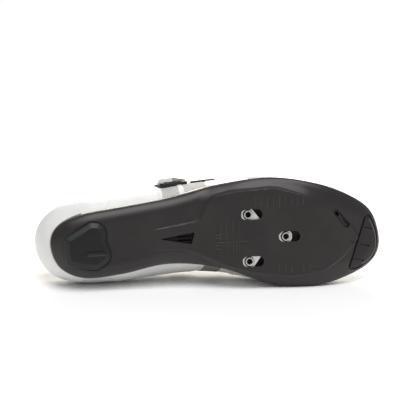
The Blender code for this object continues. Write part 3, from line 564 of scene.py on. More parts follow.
def stitchMesh(name, paths, seam):
    # an ellipsoid for each stitch, laid along its path at even steps. A path is points and their normals
    pitch, size = seams[seam]
    length, width, height = (value / 2 for value in size)
    rings, sides = seams["rings"], seams["sides"]
    spin = np.arange(sides) / sides * 2 * np.pi
    down, spin = np.meshgrid(np.linspace(0, np.pi, rings), spin, indexing="ij")
    unit = np.stack([
        np.cos(down) * length,
        np.sin(down) * np.cos(spin) * width,
        np.sin(down) * np.sin(spin) * height,
    ], -1)
    made = []
    for points, normals in paths:
        far = np.concatenate([[0], np.cumsum(np.linalg.norm(np.diff(points, axis=0), axis=1))])
        steps = np.arange(pitch / 2, far[-1], pitch)
        centre, before, after, up = (
            np.stack([np.interp(steps + shift, far, field[:, k]) for k in range(3)], -1)
            for shift, field in ((0, points), (-pitch / 3, points), (pitch / 3, points), (0, normals))
        )
        ahead = after - before
        ahead /= np.linalg.norm(ahead, axis=1, keepdims=True)
        side = np.cross(up, ahead)
        side /= np.linalg.norm(side, axis=1, keepdims=True)
        axes = np.stack([ahead, side, np.cross(ahead, side)], 1)
        made.append(np.einsum("rcx,sxy->srcy", unit, axes) + centre[:, None, None])
    made = np.concatenate(made)
    quads, _ = gridQuads(rings, sides, loopColumns=True)
    quads = quads[None] + np.arange(len(made))[:, None, None] * rings * sides
    return meshFrom(name, made.reshape(-1, 3), quads.reshape(-1, 4))


def sew(name, paths, seam, slot):
    newPiece(name, stitchMesh(name, paths, seam), "thread", "shoe", slot=slot)


def tubeMesh(name, path, radius, segments=10):
    # rings square to an open path; its radius falls to nothing over a round end
    ahead = np.gradient(path, axis=0)
    ahead /= np.linalg.norm(ahead, axis=1, keepdims=True)
    side = np.cross(ahead, (0, 0, 1.0))
    side /= np.linalg.norm(side, axis=1, keepdims=True)
    up = np.cross(side, ahead)
    far = np.concatenate([[0], np.cumsum(np.linalg.norm(np.diff(path, axis=0), axis=1))])
    near = np.clip(np.minimum(far, far[-1] - far) / (2 * radius), 0, 1)
    width = radius * np.sqrt(1 - (1 - near) ** 2)
    angle = np.arange(segments) / segments * 2 * np.pi
    rings = np.cos(angle)[None, :, None] * side[:, None] + np.sin(angle)[None, :, None] * up[:, None]
    return gridMesh(name, path[:, None] + width[:, None, None] * rings, loopColumns=True)


def surfacePath(place, u, v, lift):  # points along a surface with their normals
    low, high = place(u, v, lift), place(u, v, lift + mm)
    return low, (high - low) / mm


def turnedMesh(name, profile, centre, segments=64):
    # a closed profile of (radius, height) turned about an upright axis
    angle = np.arange(segments) / segments * 2 * np.pi
    radius, height = (np.array(profile)[:, k][:, None] for k in (0, 1))
    points = np.stack([
        centre[0] + radius * np.cos(angle),
        centre[1] + radius * np.sin(angle),
        np.broadcast_to(height, (len(profile), segments)),
    ], -1)
    return gridMesh(name, points, loopRows=True, loopColumns=True)


def closedObject(mesh):  # a helper for a Boolean
    weld(mesh, False)
    obj = bpy.data.objects.new(mesh.name, mesh)
    bpy.context.scene.collection.objects.link(obj)
    return obj


def cut(mesh, operation, cutters):  # Booleans, applied in order, and the helpers removed
    obj = closedObject(mesh)
    for other in cutters:
        tool = closedObject(other)
        step = obj.modifiers.new("cut", "BOOLEAN")
        step.operation, step.solver, step.object = operation, "MANIFOLD", tool
        bpy.context.view_layer.update()
        evaluated = obj.evaluated_get(bpy.context.evaluated_depsgraph_get())
        result = bpy.data.meshes.new_from_object(evaluated)
        obj.modifiers.clear()
        obj.data = result
        bpy.data.objects.remove(tool)
    bpy.data.objects.remove(obj)
    return result


# Materials

def newMaterial(name, colour, roughness, **values):
    made = bpy.data.materials.new(name)
    made.use_nodes = True
    shader = made.node_tree.nodes["Principled BSDF"]
    shader.inputs["Base Color"].default_value = (*colour, 1)
    shader.inputs["Roughness"].default_value = roughness
    for key, value in values.items():
        shader.inputs[key].default_value = value
    return made, made.node_tree, shader


def addNode(tree, kind, inputs, **settings):
    node = tree.nodes.new("ShaderNode" + kind)
    for key, value in settings.items():
        setattr(node, key, value)
    for key, value in inputs.items():
        if isinstance(value, bpy.types.NodeSocket):
            tree.links.new(value, node.inputs[key])
        else:
            node.inputs[key].default_value = value
    return node


def objectPlace(tree):
    return addNode(tree, "TexCoord", {}).outputs["Object"]


def surfacePlace(tree):
    return addNode(tree, "UVMap", {}, uv_map="UVMap").outputs["UV"]


def ramp(tree, factor, low, high, start=0.0, end=1.0):
    node = addNode(tree, "ValToRGB", {"Fac": factor})
    node.color_ramp.elements[0].position, node.color_ramp.elements[1].position = start, end
    node.color_ramp.elements[0].color, node.color_ramp.elements[1].color = (*low, 1), (*high, 1)
    return node.outputs["Color"]


def noise(tree, place, scale, detail):
    return addNode(tree, "TexNoise", {"Vector": place, "Scale": scale, "Detail": detail}).outputs["Fac"]


def spread(tree, value, low, high, start=0.0, end=1.0):  # from the range start to end, to low to high
    inputs = {"Value": value, "From Min": start, "From Max": end, "To Min": low, "To Max": high}
    return addNode(tree, "MapRange", inputs).outputs["Result"]


def blendColour(tree, share, first, second):
    inputs = {"Factor": share, "A": first, "B": second}
    return addNode(tree, "Mix", inputs, data_type="RGBA").outputs["Result"]


def addBump(tree, shader, height, distance, strength=1.0, under=None):
    inputs = {"Height": height, "Distance": distance, "Strength": strength}
    if under is not None:
        inputs["Normal"] = under
    node = addNode(tree, "Bump", inputs)
    tree.links.new(node.outputs["Normal"], shader.inputs["Normal"])
    return node.outputs["Normal"]


def mouldedMaterial(name, low, high, roughness, gloss, grain=900, depth=0.00006):
    # moulded plastic or rubber: a fine even grain, and soft patches a little paler and glossier
    made, tree, shader = newMaterial(name, low, roughness)
    shader.inputs["Specular IOR Level"].default_value = gloss
    place = objectPlace(tree)
    patches = noise(tree, place, 35, 5)
    tree.links.new(ramp(tree, patches, low, high, 0.35, 0.7), shader.inputs["Base Color"])
    tree.links.new(spread(tree, patches, roughness - 0.04, roughness + 0.06), shader.inputs["Roughness"])
    addBump(tree, shader, noise(tree, place, grain, 3), depth)
    return made


def padMaterial(name, low, high, bevel, roughness):
    # moulded rubber, paler where the height over the tread's plane shows the bevel rather than the face: a painted
    # highlight on the bevel and on the groove's floor
    made = mouldedMaterial(name, low, high, roughness, 0.35)
    tree = made.node_tree
    shader = tree.nodes["Principled BSDF"]
    face = shader.inputs["Base Color"].links[0].from_socket
    height = addNode(tree, "VectorMath", {0: objectPlace(tree), 1: tuple(shoeUp)}, operation="DOT_PRODUCT")
    level = float(shoeOrigin @ shoeUp)
    share = spread(tree, height.outputs["Value"], 0, 1, level + 0.05 * mm, level + 0.5 * mm)
    tree.links.new(blendColour(tree, share, face, (*bevel, 1)), shader.inputs["Base Color"])
    return made


def coatedMaterial(name, low, high, roughness, holes):
    # coated microfibre: pebbled grain of irregular cells, with a faint mottle in the white
    made, tree, shader = newMaterial(name, high, roughness)
    place = objectPlace(tree)
    shader.inputs["Coat Weight"].default_value = 0.12
    shader.inputs["Coat Roughness"].default_value = 0.35
    colour = ramp(tree, noise(tree, place, 60, 6), low, high, 0.3, 0.6)
    cells = addNode(tree, "TexVoronoi", {"Vector": place, "Scale": 1300}, feature="SMOOTH_F1")
    fine = addBump(tree, shader, cells.outputs["Distance"], 0.00010, 0.6)
    soft = addBump(tree, shader, noise(tree, place, 45, 2), 0.0006, 0.5, fine)
    if holes:  # punched in even rows along the piece's own UVs: pitch and radius
        pitch, radius = holes
        rows = {"Vector": surfacePlace(tree), "Scale": 1 / pitch, "Randomness": 0.0}
        punched = addNode(tree, "TexVoronoi", rows)
        edge = radius / pitch
        share = spread(tree, punched.outputs["Distance"], 0, 1, 0.9 * edge, 1.15 * edge)
        # the near-black in each punched hole is painted shade
        colour = blendColour(tree, share, (0.05, 0.05, 0.05, 1), colour)
        addBump(tree, shader, share, 0.0004, 0.8, soft)
    tree.links.new(colour, shader.inputs["Base Color"])
    return made


def wovenMaterial(name, low, high, pitch, roughness=0.85, depth=0.0002):
    # a weave: two bands of threads at right angles along the piece's own UVs, the higher one showing, and darker
    # where the threads dip: painted shade between them
    made, tree, shader = newMaterial(name, high, roughness)
    shader.inputs["Sheen Weight"].default_value = 0.3
    place = surfacePlace(tree)
    scale = 0.314 / pitch
    bands = {"Vector": place, "Scale": scale, "Distortion": 0.6, "Detail": 1, "Detail Scale": 3}
    warp, weft = (addNode(tree, "TexWave", bands, bands_direction=way).outputs["Fac"] for way in ("X", "Y"))
    weave = addNode(tree, "Math", {0: warp, 1: weft}, operation="MULTIPLY").outputs["Value"]
    tree.links.new(ramp(tree, weave, low, high, 0.0, 0.6), shader.inputs["Base Color"])
    addBump(tree, shader, weave, depth)
    return made


def meshMaterial(name, thread, holeShade, pitch):
    # an airy knit: rows of holes between rounded threads, along the piece's own UVs; the holes' dark colour is
    # painted shade
    made, tree, shader = newMaterial(name, thread, 0.8)
    place = surfacePlace(tree)
    cells = addNode(tree, "TexVoronoi", {"Vector": place, "Scale": 1 / pitch, "Randomness": 0.12})
    far = cells.outputs["Distance"]
    tree.links.new(ramp(tree, far, holeShade, thread, 0.22, 0.42), shader.inputs["Base Color"])
    addBump(tree, shader, far, 0.0004)
    return made


def steelMaterial(name, colour, roughness):
    # zinc-plated steel: a fine grain and slightly uneven gloss
    made, tree, shader = newMaterial(name, colour, roughness, Metallic=1.0)
    patches = noise(tree, objectPlace(tree), 300, 4)
    tree.links.new(spread(tree, patches, roughness - 0.08, roughness + 0.1), shader.inputs["Roughness"])
    addBump(tree, shader, patches, 0.00004)
    return made


finishes = {}
for key, name, low, high, roughness, gloss in (
    ("composite", "moulded composite", (0.0118, 0.0080, 0.0088), (0.0185, 0.0136, 0.0142), 0.36, 0.48),
    ("bumperRubber", "bumper rubber", (0.0098, 0.0070, 0.0077), (0.0150, 0.0117, 0.0121), 0.48, 0.35),
    ("blackPlastic", "black plastic", (0.010, 0.010, 0.011), (0.016, 0.016, 0.017), 0.38, 0.35),
    ("whitePlastic", "white plastic", (0.66, 0.66, 0.65), (0.74, 0.74, 0.73), 0.34, 0.35),
    ("olivePlastic", "grey plastic", (0.27, 0.27, 0.23), (0.36, 0.36, 0.31), 0.32, 0.35),
    # near black for the vents, and painted shade for the rings round the plate's bosses
    ("ventAndShadeBlack", "vent plastic and painted shade", (0.003, 0.003, 0.003), (0.006, 0.006, 0.006), 0.6, 0.2),
    # paler marks on the deck's ridges: a painted highlight
    ("markHighlight", "mark", (0.055, 0.048, 0.048), (0.080, 0.072, 0.070), 0.45, 0.35),
    # the guard's rib, paler than its rubber: a painted highlight
    ("ribHighlight", "rib highlight", (0.090, 0.082, 0.078), (0.120, 0.110, 0.105), 0.4, 0.35),
):
    finishes[key] = mouldedMaterial(name, low, high, roughness, gloss)
for key, name, low, high, pitch in (
    ("lining", "lining", (0.40, 0.40, 0.395), (0.60, 0.60, 0.59), 0.9 * mm),
    ("tongueMesh", "tongue fabric", (0.60, 0.60, 0.59), (0.84, 0.84, 0.83), 1.1 * mm),
    ("footbed", "footbed cloth", (0.02, 0.02, 0.022), (0.07, 0.07, 0.075), 0.8 * mm),
    ("binding", "binding tape", (0.42, 0.42, 0.41), (0.60, 0.60, 0.59), 0.6 * mm),
):
    finishes[key] = wovenMaterial(name, low, high, pitch)
whites = (0.68, 0.68, 0.67), (0.77, 0.77, 0.76)
for key, name, low, high, roughness, holes in (
    ("white", "white microfibre", *whites, 0.48, None),
    ("perforated", "perforated microfibre", *whites, 0.48, (4.2 * mm, 0.55 * mm)),
    ("thread", "thread", (0.42, 0.42, 0.41), (0.56, 0.56, 0.55), 0.6, None),
    ("cream", "cream piping", (0.60, 0.55, 0.46), (0.70, 0.65, 0.56), 0.5, None),
):
    finishes[key] = coatedMaterial(name, low, high, roughness, holes)
# the third colour, paler than the face, is the painted highlight on the pad's bevel
padColours = (0.0045, 0.0047, 0.0047), (0.0075, 0.0079, 0.0079), (0.0120, 0.0128, 0.0128)
finishes["padRubber"] = padMaterial("pad rubber", *padColours, 0.42)
finishes["steel"] = steelMaterial("zinc-plated steel", (0.82, 0.82, 0.80), 0.3)
finishes["airMesh"] = meshMaterial("grey mesh", (0.64, 0.635, 0.62), (0.20, 0.195, 0.19), 1.25 * mm)
finishes["darkMesh"] = meshMaterial("dark mesh", (0.30, 0.29, 0.27), (0.03, 0.028, 0.026), 1.25 * mm)
print("materials ready")


# Outsole
turns = evenTurns(sole["columns"])


def boltPlaces():
    half = sole["boltSpread"] / 2
    return (sole["rearBolt"], -half), (sole["rearBolt"], half), (sole["rearBolt"] + sole["boltReach"], 0)


def slotOutline(centre, length, width, heading=0.0):
    # two half circles and the straight sides between them, about the slot's middle, then turned
    angle = np.linspace(-np.pi / 2, np.pi / 2, 17)
    front = np.stack([np.cos(angle), np.sin(angle)], -1) * width / 2 + ((length - width) / 2, 0)
    loop = np.concatenate([front, -front])
    turned = np.array([[math.cos(heading), -math.sin(heading)], [math.sin(heading), math.cos(heading)]])
    return loop @ turned.T + centre


def prismMesh(name, points, low=-10 * mm, high=50 * mm):  # right through the sole, unless told otherwise
    return blockMesh(name, points, ((0, low), (0, high)))


pad = {
    "length": 37 * mm,
    "width": 38.5 * mm,
    "place": (10 * mm, -18.8 * mm),
    "along": (0.00, 0.59, 0.77, 0.90, 0.92, 0.92, 1.00, 1.00, 0.93, 0.72, 0.55, 0.04, 0.01),
    "across": (0.33, 0.00, 0.02, 0.13, 0.26, 0.40, 0.64, 0.77, 0.87, 1.00, 0.99, 0.88, 0.62),
    "round": 1.6 * mm,
    "moat": 1.4 * mm,
    "depth": 5.6 * mm,
    "groove": (0.69, 0.66, 18 * mm, 4.6 * mm),  # place as shares of the pad, length and width
    "grooveSides": ((-0.8 * mm, -1 * mm), (1.4 * mm, 1.2 * mm)),  # inset and height
    "profile": (  # inset and height, mm: face, softened corner, bevel, shoulder, foot
        (4.4, 0.0), (4.2, 0.02), (4.0, 0.12), (0.9, 2.2), (0.5, 2.45), (0.15, 2.8), (0.0, 3.3), (0.0, 5.2),
    ),
}
pocket = {  # the recess that the cleat plate slides in, from its rear lobes to its nose
    "along": (-8.3, 13.5, 34.5, 44.6, 44.6, 34.5, 13.5, -8.3),
    "across": (-25.5, -25.5, -6.9, -6.9, 6.9, 6.9, 25.5, 25.5),
    "floor": 3 * mm,
    "top": 30 * mm,
    "round": 1 * mm,
}
window = {"corners": ((0.318, -0.024), (0.422, -0.074), (0.412, 0.032)), "round": 1.5 * mm}
vent = {
    "length": 19 * mm,
    "width": 5.2 * mm,
    "place": (0.868, -0.134),
    "heading": math.radians(48),
    "gap": 0.55 * mm,
    "sunk": 0.5 * mm,
    "thickness": 1.6 * mm,
    "round": (-5.6 * mm, 4.4 * mm, 2.6 * mm),  # place along it, length and width
    "wedge": ((-1.6, -1.0), (6.6, -1.3), (6.6, 0.1)),  # corners along and across it, mm
}


def counterclockwise(points):
    after = np.roll(points, -1, 0)
    area = (points[:, 0] * after[:, 1] - points[:, 1] * after[:, 0]).sum()
    return points if area > 0 else points[::-1]


def padOutline(inset=0.0):
    corners = np.stack([pad["along"], pad["across"]], -1) * (pad["length"], pad["width"]) + pad["place"]
    return rounded(mitred(counterclockwise(corners), -inset), pad["round"])


bumper = {
    "along": (0.950, 0.911, 0.891, 0.915, 0.934, 0.974, 0.987, 0.984, 0.964),
    "across": (-0.132, 0.161, 0.320, 0.322, 0.299, 0.222, 0.115, -0.005, -0.138),
    "rise": 0.8 * mm,
    "seat": 0.9 * mm,
    "gap": 1.3 * mm,
    "round": 1.5 * mm,
    "reach": 0.925,  # share of the outline that it ends at
    "grooves": ((0.953, -0.035), (0.943, 0.12), (0.924, 0.25)),  # where each crosses it
    "groove": (9 * mm, 1.2 * mm, 1.0 * mm, math.radians(14)),  # length, width, depth, heading
    "ribTurns": (0.910, 0.950, 1.000, 1.080, 1.155),
    "ribShares": (0.800, 0.815, 0.820, 0.865, 0.880),  # of the outline, at those turns
    "ribRadius": 0.5 * mm,
}


def bumperOutline():
    corners = onPlan(np.stack([bumper["along"], bumper["across"]], -1))
    return rounded(counterclockwise(corners), bumper["round"])


def soleLayer(name, low, high, reach=0.94):
    # a closed layer between two distances from the underside, out to a share of the outline
    shares = np.linspace(0, reach, 40)[:, None] * np.ones(len(turns))
    point = hull(turns[None] + 0 * shares, shares)
    return gridMesh(name, np.concatenate([point + (0, 0, low), point[::-1] + (0, 0, high)]), loopColumns=True)


def ventOutline(gap):
    size = vent["length"] - gap, vent["width"] - gap
    return slotOutline(onPlan(vent["place"]), *size, vent["heading"])


def buildOutsole():
    border = 0.9 + 0.1 * np.sin(np.linspace(0, np.pi / 2, 16)[1:])
    rows = list(underside(*np.meshgrid(turns, np.concatenate([np.linspace(0, 0.9, 92), border]))))
    edge = outline(turns)
    low = rows[-1][:, 2]
    for share in (0.35, 0.7, 0.9, 1.0):
        rows.append(raised(edge, low + (rimHeight(edge[:, 0]) - low - 0.5 * mm) * share))
    for inset, drop in ((0.15, 0.15), (0.5, 0.0)):
        rows.append(raised(edge - inset * mm * outward(turns), rimHeight(edge[:, 0]) - drop * mm))
    gap = sole["wallGap"] * outward(turns)
    flat = wall(turns, riseAt(turns, rimHeight))[:, :2] + gap
    rows.append(raised(flat, rimHeight(flat[:, 0])))
    inner = [footLine(turns)[:, :2] + gap]
    inner += [ring(turns, np.full_like(turns, share)) for share in (0.8, 0.6, 0.4, 0.2, 0)]
    rows += [raised(flat, trayHeight(flat[:, 0])) for flat in inner]
    mesh = gridMesh("sole_shell", np.stack(rows), loopColumns=True)
    cutters = [prismMesh("pad_seat", grown(padOutline(), pad["moat"]), high=pad["depth"])]
    points = np.stack([pocket["along"], pocket["across"]], -1) * mm + (sole["rearBolt"], 0)
    cutters.append(prismMesh("pocket", rounded(points, pocket["round"]), pocket["floor"], pocket["top"]))
    length, width, back = sole["slot"]
    for x, y in boltPlaces():
        centre = (x - back + (length - width) / 2, y)
        cutters.append(prismMesh("slot", slotOutline(centre, length, width)))
    corners = counterclockwise(onPlan(window["corners"]))
    cutters.append(prismMesh("window", rounded(corners, window["round"])))
    cutters.append(prismMesh("vent_hole", ventOutline(0)))
    seat = prismMesh("bumper_plan", grown(bumperOutline(), bumper["gap"]))
    depth = bumper["seat"] + 0.3 * mm
    cutters.append(cut(seat, "INTERSECT", [soleLayer("bumper_depth", -5 * mm, depth)]))
    mesh = cut(mesh, "DIFFERENCE", cutters)
    mesh.name = "sole_shell"
    newPiece("sole_shell", mesh, "composite", "shoe", "outsole", slot="outsole")


buildOutsole()
print("outsole ready")

marks = {  # raised lines on the deck for setting the cleat: x and y of both ends, count and pitch along x, mm
    "lines": (
        (137.6, -16.0, 137.6, 2.0, 4, 5.2), (140.2, 3.0, 140.2, 11.0, 6, 2.6), (133.5, 2.4, 160.5, 2.4, 1, 0),
        (167.3, -33.0, 167.3, -25.0, 9, 5.1), (186.0, 23.5, 186.0, 30.0, 6, 5.1),
    ),
    "ticks": (133.5, -4.0, 4.2, 2.9, 5),  # x, first y, length, pitch along y, count, and none in the middle
    "width": 0.35 * mm,
    "rise": 0.12 * mm,
}


def buildMarks():  # each line is a low ridge with chamfered sides, its foot sunk in the deck
    ends = []
    for x0, y0, x1, y1, count, pitch in marks["lines"]:
        ends += [(x0 + k * pitch, y0, x1 + k * pitch, y1) for k in range(count)]
    x, y, length, pitch, count = marks["ticks"]
    ends += [(x, y + k * pitch, x + length, y + k * pitch) for k in range(count) if k != count // 2]
    ends = np.array(ends) * mm
    start, end = ends[:, None, :2], ends[:, None, 2:]
    ahead = (end - start) / np.linalg.norm(end - start, axis=-1, keepdims=True)
    side = np.stack([-ahead[..., 1], ahead[..., 0]], -1) * marks["width"] / 2
    rows = []
    for wide, height in ((1.0, 0.1 * mm), (1.0, 0.0), (0.5, -marks["rise"])):
        loop = [start - side * wide, end - side * wide, end + side * wide, start + side * wide]
        rows.append(raised(np.concatenate(loop, 1), height))
    points = np.stack(rows, 1)  # line, level, corner
    quads, _ = gridQuads(3, 4, loopColumns=True)
    quads = np.concatenate([quads, [(3, 2, 1, 0), (8, 9, 10, 11)]])
    quads = quads[None] + np.arange(len(points))[:, None, None] * 12
    mesh = meshFrom("cleat_marks", points.reshape(-1, 3), quads.reshape(-1, 4))
    # the ridges take a finish paler than the sole: a painted highlight along them
    newPiece("cleat_marks", mesh, "markHighlight", "shoe", slot="outsole")


buildMarks()


# Heel pad and toe bumper
def buildPad():
    rings = [raised(padOutline(inset * mm), height * mm) for inset, height in pad["profile"]]
    mesh = gridMesh("tread_pad", closedStack(rings), loopColumns=True)
    along, across, length, width = pad["groove"]
    centre = pad["place"][0] + along * pad["length"], pad["place"][1] + across * pad["width"]
    groove = blockMesh("groove", slotOutline(centre, length, width), pad["grooveSides"])
    mesh = cut(mesh, "DIFFERENCE", [groove])
    newPiece("tread_pad", mesh, "padRubber", "shoe", "heel_pad", slot="heel_pad")


def buildBumper():
    layer = soleLayer("toe_guard", -bumper["rise"], bumper["seat"], bumper["reach"])
    mesh = cut(layer, "INTERSECT", [prismMesh("plan", bumperOutline())])
    length, width, depth, heading = bumper["groove"]
    for place in bumper["grooves"]:
        groove = prismMesh("groove", slotOutline(onPlan(place), length, width, heading))
        skin = soleLayer("skin", -5 * mm, depth - bumper["rise"])
        mesh = cut(mesh, "DIFFERENCE", [cut(groove, "INTERSECT", [skin])])
    newPiece("toe_guard", mesh, "bumperRubber", "shoe", "toe_bumper", slot="toe_bumper")
    # a thin rib along the guard, in a finish much paler than the rubber: a painted highlight
    along = np.linspace(bumper["ribTurns"][0], bumper["ribTurns"][-1], 160)
    path = hull(along, smooth(bumper["ribTurns"], bumper["ribShares"], along)) - (0, 0, bumper["rise"])
    mesh = tubeMesh("guard_rib", path, bumper["ribRadius"])
    newPiece("guard_rib", mesh, "ribHighlight", "shoe", slot="toe_bumper")


buildPad()
buildBumper()
print("pad and bumper ready")


# Cleat plate with its three threaded bosses
plate = {
    "low": 3.3 * mm,
    "thickness": 2 * mm,
    "lobe": 5.5 * mm,
    "bore": 5.2 * mm,
    "angleStep": 12,
    # radius and height, mm, of a boss, of the near-black ring round it, which is painted shade for the gap round
    # the boss, and of the room for that ring
    "boss": ((2.1, 4.9), (2.1, 1.5), (2.7, 0.7), (2.85, 0.4), (3.35, 0.4), (3.6, 0.65), (3.6, 4.9)),
    "shadeRing": ((3.55, 4.45), (3.55, 3.6), (3.7, 3.5), (4.1, 3.5), (4.22, 3.6), (4.22, 4.45)),
    "moat": (4.25, 4.5),
}


def lobeArc(x, y, first, end):
    angles = np.radians(np.arange(first, end, plate["angleStep"]))
    return np.stack([x + plate["lobe"] * np.cos(angles), y + plate["lobe"] * np.sin(angles)], -1)


def bossRings(name, key):
    return [turnedMesh(name, np.array(plate[key]) * mm, place) for place in boltPlaces()]


def buildPlate():
    half, reach = sole["boltSpread"] / 2, sole["boltReach"]
    waist = [(0.3 * reach, -0.84 * half), (0.48 * reach, -0.45 * half), (0.8 * reach, -plate["lobe"])]
    side = np.concatenate([lobeArc(0, -half, 180, 330), waist, lobeArc(reach, 0, 270, 350)])
    points = np.concatenate([side, side[::-1] * (1, -1)]) + (sole["rearBolt"], 0)
    mesh = prismMesh("threaded_plate", points, plate["low"], plate["low"] + plate["thickness"])
    radius, depth = np.array(plate["moat"]) * mm
    bores = []
    for width, deep in ((plate["bore"], 20 * mm), (2 * radius, depth)):
        bores += [prismMesh("bore", slotOutline(at, width, width), 0, deep) for at in boltPlaces()]
    mesh = cut(cut(mesh, "DIFFERENCE", bores), "UNION", bossRings("boss", "boss"))
    newPiece("threaded_plate", mesh, "steel", "plate", "cleat_plate", slot="cleat_plate")
    # near-black rings in the gaps round the bosses: painted shade
    shadeRings = bossRings("boss_shade_rings", "shadeRing")
    newPiece("boss_shade_rings", cut(shadeRings[0], "UNION", shadeRings[1:]), "ventAndShadeBlack", "plate", slot="cleat_plate")


buildPlate()
print("cleat plate ready")


# Upper
upper = {"wall": 2 * mm, "columns": 560, "rows": 96, "edge": 1.0 * mm}


def buildUpper():
    # out over the wall, round the top edge, and back down inside it
    turn = evenTurns(upper["columns"])
    rises = np.linspace(0, 1, upper["rows"])
    outside = offWall(*np.meshgrid(turn, rises), 0.0)
    inside = offWall(*np.meshgrid(turn, rises[::-3]), -upper["wall"])
    middle = (outside[-1] + inside[0]) / 2
    across = (outside[-1] - inside[0]) / 2
    slope = wallSlopes(turn, 1.0)[1]
    slope *= upper["edge"] / np.linalg.norm(slope, axis=-1, keepdims=True)
    angle = np.linspace(0, np.pi, 9)[1:-1, None, None]
    edge = middle + across * np.cos(angle) + slope * np.sin(angle)
    mesh = gridMesh("upper_wall", np.concatenate([outside, edge, inside]), True, True)
    newPiece("upper_wall", mesh, "white", "shoe", "upper", slot="upper")


buildUpper()
print("upper ready")


# Heel counter
counter = {
    "reach": 0.2,
    "foot": 2 * mm,  # above the sole's rim
    "top": 0.50,
    "fall": 0.24,
    "thickness": 1.0 * mm,
    "edge": 0.8 * mm,
    "gap": 0.4 * mm,
    "size": (95 * mm, 30 * mm),
}


def counterPlace(u, v, lift):
    turn = counter["reach"] * (2 * u - 1)
    top = counter["top"] - counter["fall"] * (2 * u - 1) ** 2
    low = riseOverRim(turn, counter["foot"])
    return offWall(turn, low + (top - low) * v, lift)


def buildCounter():
    size, thick, edge, gap = (counter[key] for key in ("size", "thickness", "edge", "gap"))
    mesh = sheetMesh("heel_cup", counterPlace, size, thick, edge, (120, 40), gap)
    newPiece("heel_cup", mesh, "whitePlastic", "shoe", "heel_counter", slot="heel_counter")


buildCounter()
print("heel counter ready")


# Panels on the upper. Each is a thin sheet on the wall between two rising edges.
panels = (
    # name, side, x at the foot's rear and front and at the top's, top rise, thickness, finish, seam, mm
    ("side_mesh", "lateral", 94, 132, 96, 131, 0.44, 0.35, "airMesh", None),
    ("arch_mesh", "medial", 128, 142, 126, 140, 0.46, 0.35, "darkMesh", None),
    ("side_strip", "lateral", 107.5, 112.5, 109, 113, 0.47, 0.8, "white", 0.9),
    ("rear_quarter", "lateral", 44, 93, 62, 92, 0.80, 0.55, "white", 1.6),
    ("rear_quarter_medial", "medial", 44, 127, 62, 114, 0.80, 0.55, "white", 1.6),
    ("saddle", "lateral", 133, 160, 133, 164, 0.80, 0.55, "perforated", 1.6),
    ("saddle_medial", "medial", 154, 172, 150, 172, 0.80, 0.55, "white", 1.6),
    ("vamp_mesh", "lateral", 166, 226, 170, 222, 0.78, 0.35, "airMesh", None),
    ("vamp_mesh_medial", "medial", 178, 228, 178, 224, 0.78, 0.35, "airMesh", None),
)
laid = {
    "seat": 0.8 * mm,  # how far above the sole's rim a panel starts
    "edge": 0.5 * mm,
    "step": 1.3 * mm,
    "threadLift": 0.03 * mm,
}


def addLayer(name, place, size, thickness, sunk, counts, finish):  # its back lies a little inside the wall
    mesh = sheetMesh(name, place, size, thickness + sunk, laid["edge"], counts, -sunk)
    newPiece(name, mesh, finish, "shoe", slot="upper")


def panelPlace(medial, lowRear, lowFront, highRear, highFront, top):
    def place(u, v, lift):
        rear, front = lowRear + (highRear - lowRear) * v, lowFront + (highFront - lowFront) * v
        x = (rear + (front - rear) * u) * mm
        low = riseOverRim(turnAt(x, 0.1, medial), laid["seat"])
        rise = low + (top - low) * v
        return offWall(turnAt(x, rise, medial), rise, lift)

    return place


def buildPanel(name, side, lowRear, lowFront, highRear, highFront, top, thickness, finish, seam):
    place = panelPlace(side == "medial", lowRear, lowFront, highRear, highFront, top)
    probe = place(np.array([0.0, 1.0, 0.5, 0.5]), np.array([0.5, 0.5, 0.0, 1.0]), 0.0)
    size = np.linalg.norm(probe[1] - probe[0]), 1.1 * np.linalg.norm(probe[3] - probe[2])
    counts = [int(min(max(length / laid["step"], 8), 60)) for length in size]
    addLayer(name, place, size, thickness * mm, 0.15 * mm, counts, finish)
    if seam:
        inset = [seam * mm / length for length in size]
        v, u = np.linspace(inset[1], 1 - inset[1], 160), np.linspace(inset[0], 1 - inset[0], 120)
        lift = thickness * mm + laid["threadLift"]
        paths = [surfacePath(place, 0 * v + edge, v, lift) for edge in (inset[0], 1 - inset[0])]
        paths.append(surfacePath(place, u, 0 * u + 1 - inset[1], lift))
        sew(name + "_stitches", paths, "fine", "upper")


for values in panels:
    buildPanel(*values)
print("side panels ready")

trim = {
    "cap": (0.80, 1.20, 0.30, 0.24, 0.55 * mm),  # turns, rise at its ends, more at the middle, thickness
    "rand": (0.555, 1.445, 0.115, 0.6 * mm),  # turns, how far it climbs, thickness
    "eyestay": (0.54, 0.955, 0.865, 0.985, 0.5 * mm),  # turns, rises, thickness
    "binding": (1.45 * mm, 3.0 * mm, 1.4 * mm),  # half its thickness, half its height, how far it hangs
    "piping": (0.36, 0.66, 1.0 * mm, 0.2 * mm, 0.55 * mm),  # turns, height over the rim, lift, radius
    "lining": (0.04, 0.97, -1.96 * mm, -2.4 * mm),  # rises, and how far inside the wall its two faces lie
}


def capPlace(u, v, lift):
    start, end, side, rise, _ = trim["cap"]
    turn = start + (end - start) * u
    low = riseOverRim(turn, laid["seat"])
    return offWall(turn, low + (side + rise * np.sin(np.pi * u) - low) * v, lift)


def randPlace(u, v, lift):
    start, end, climb, _ = trim["rand"]
    turn = start + (end - start) * u
    low = riseOverRim(turn, laid["seat"])
    return offWall(turn, low + climb * (0.35 + 0.65 * np.sin(np.pi * u)) * v, lift)


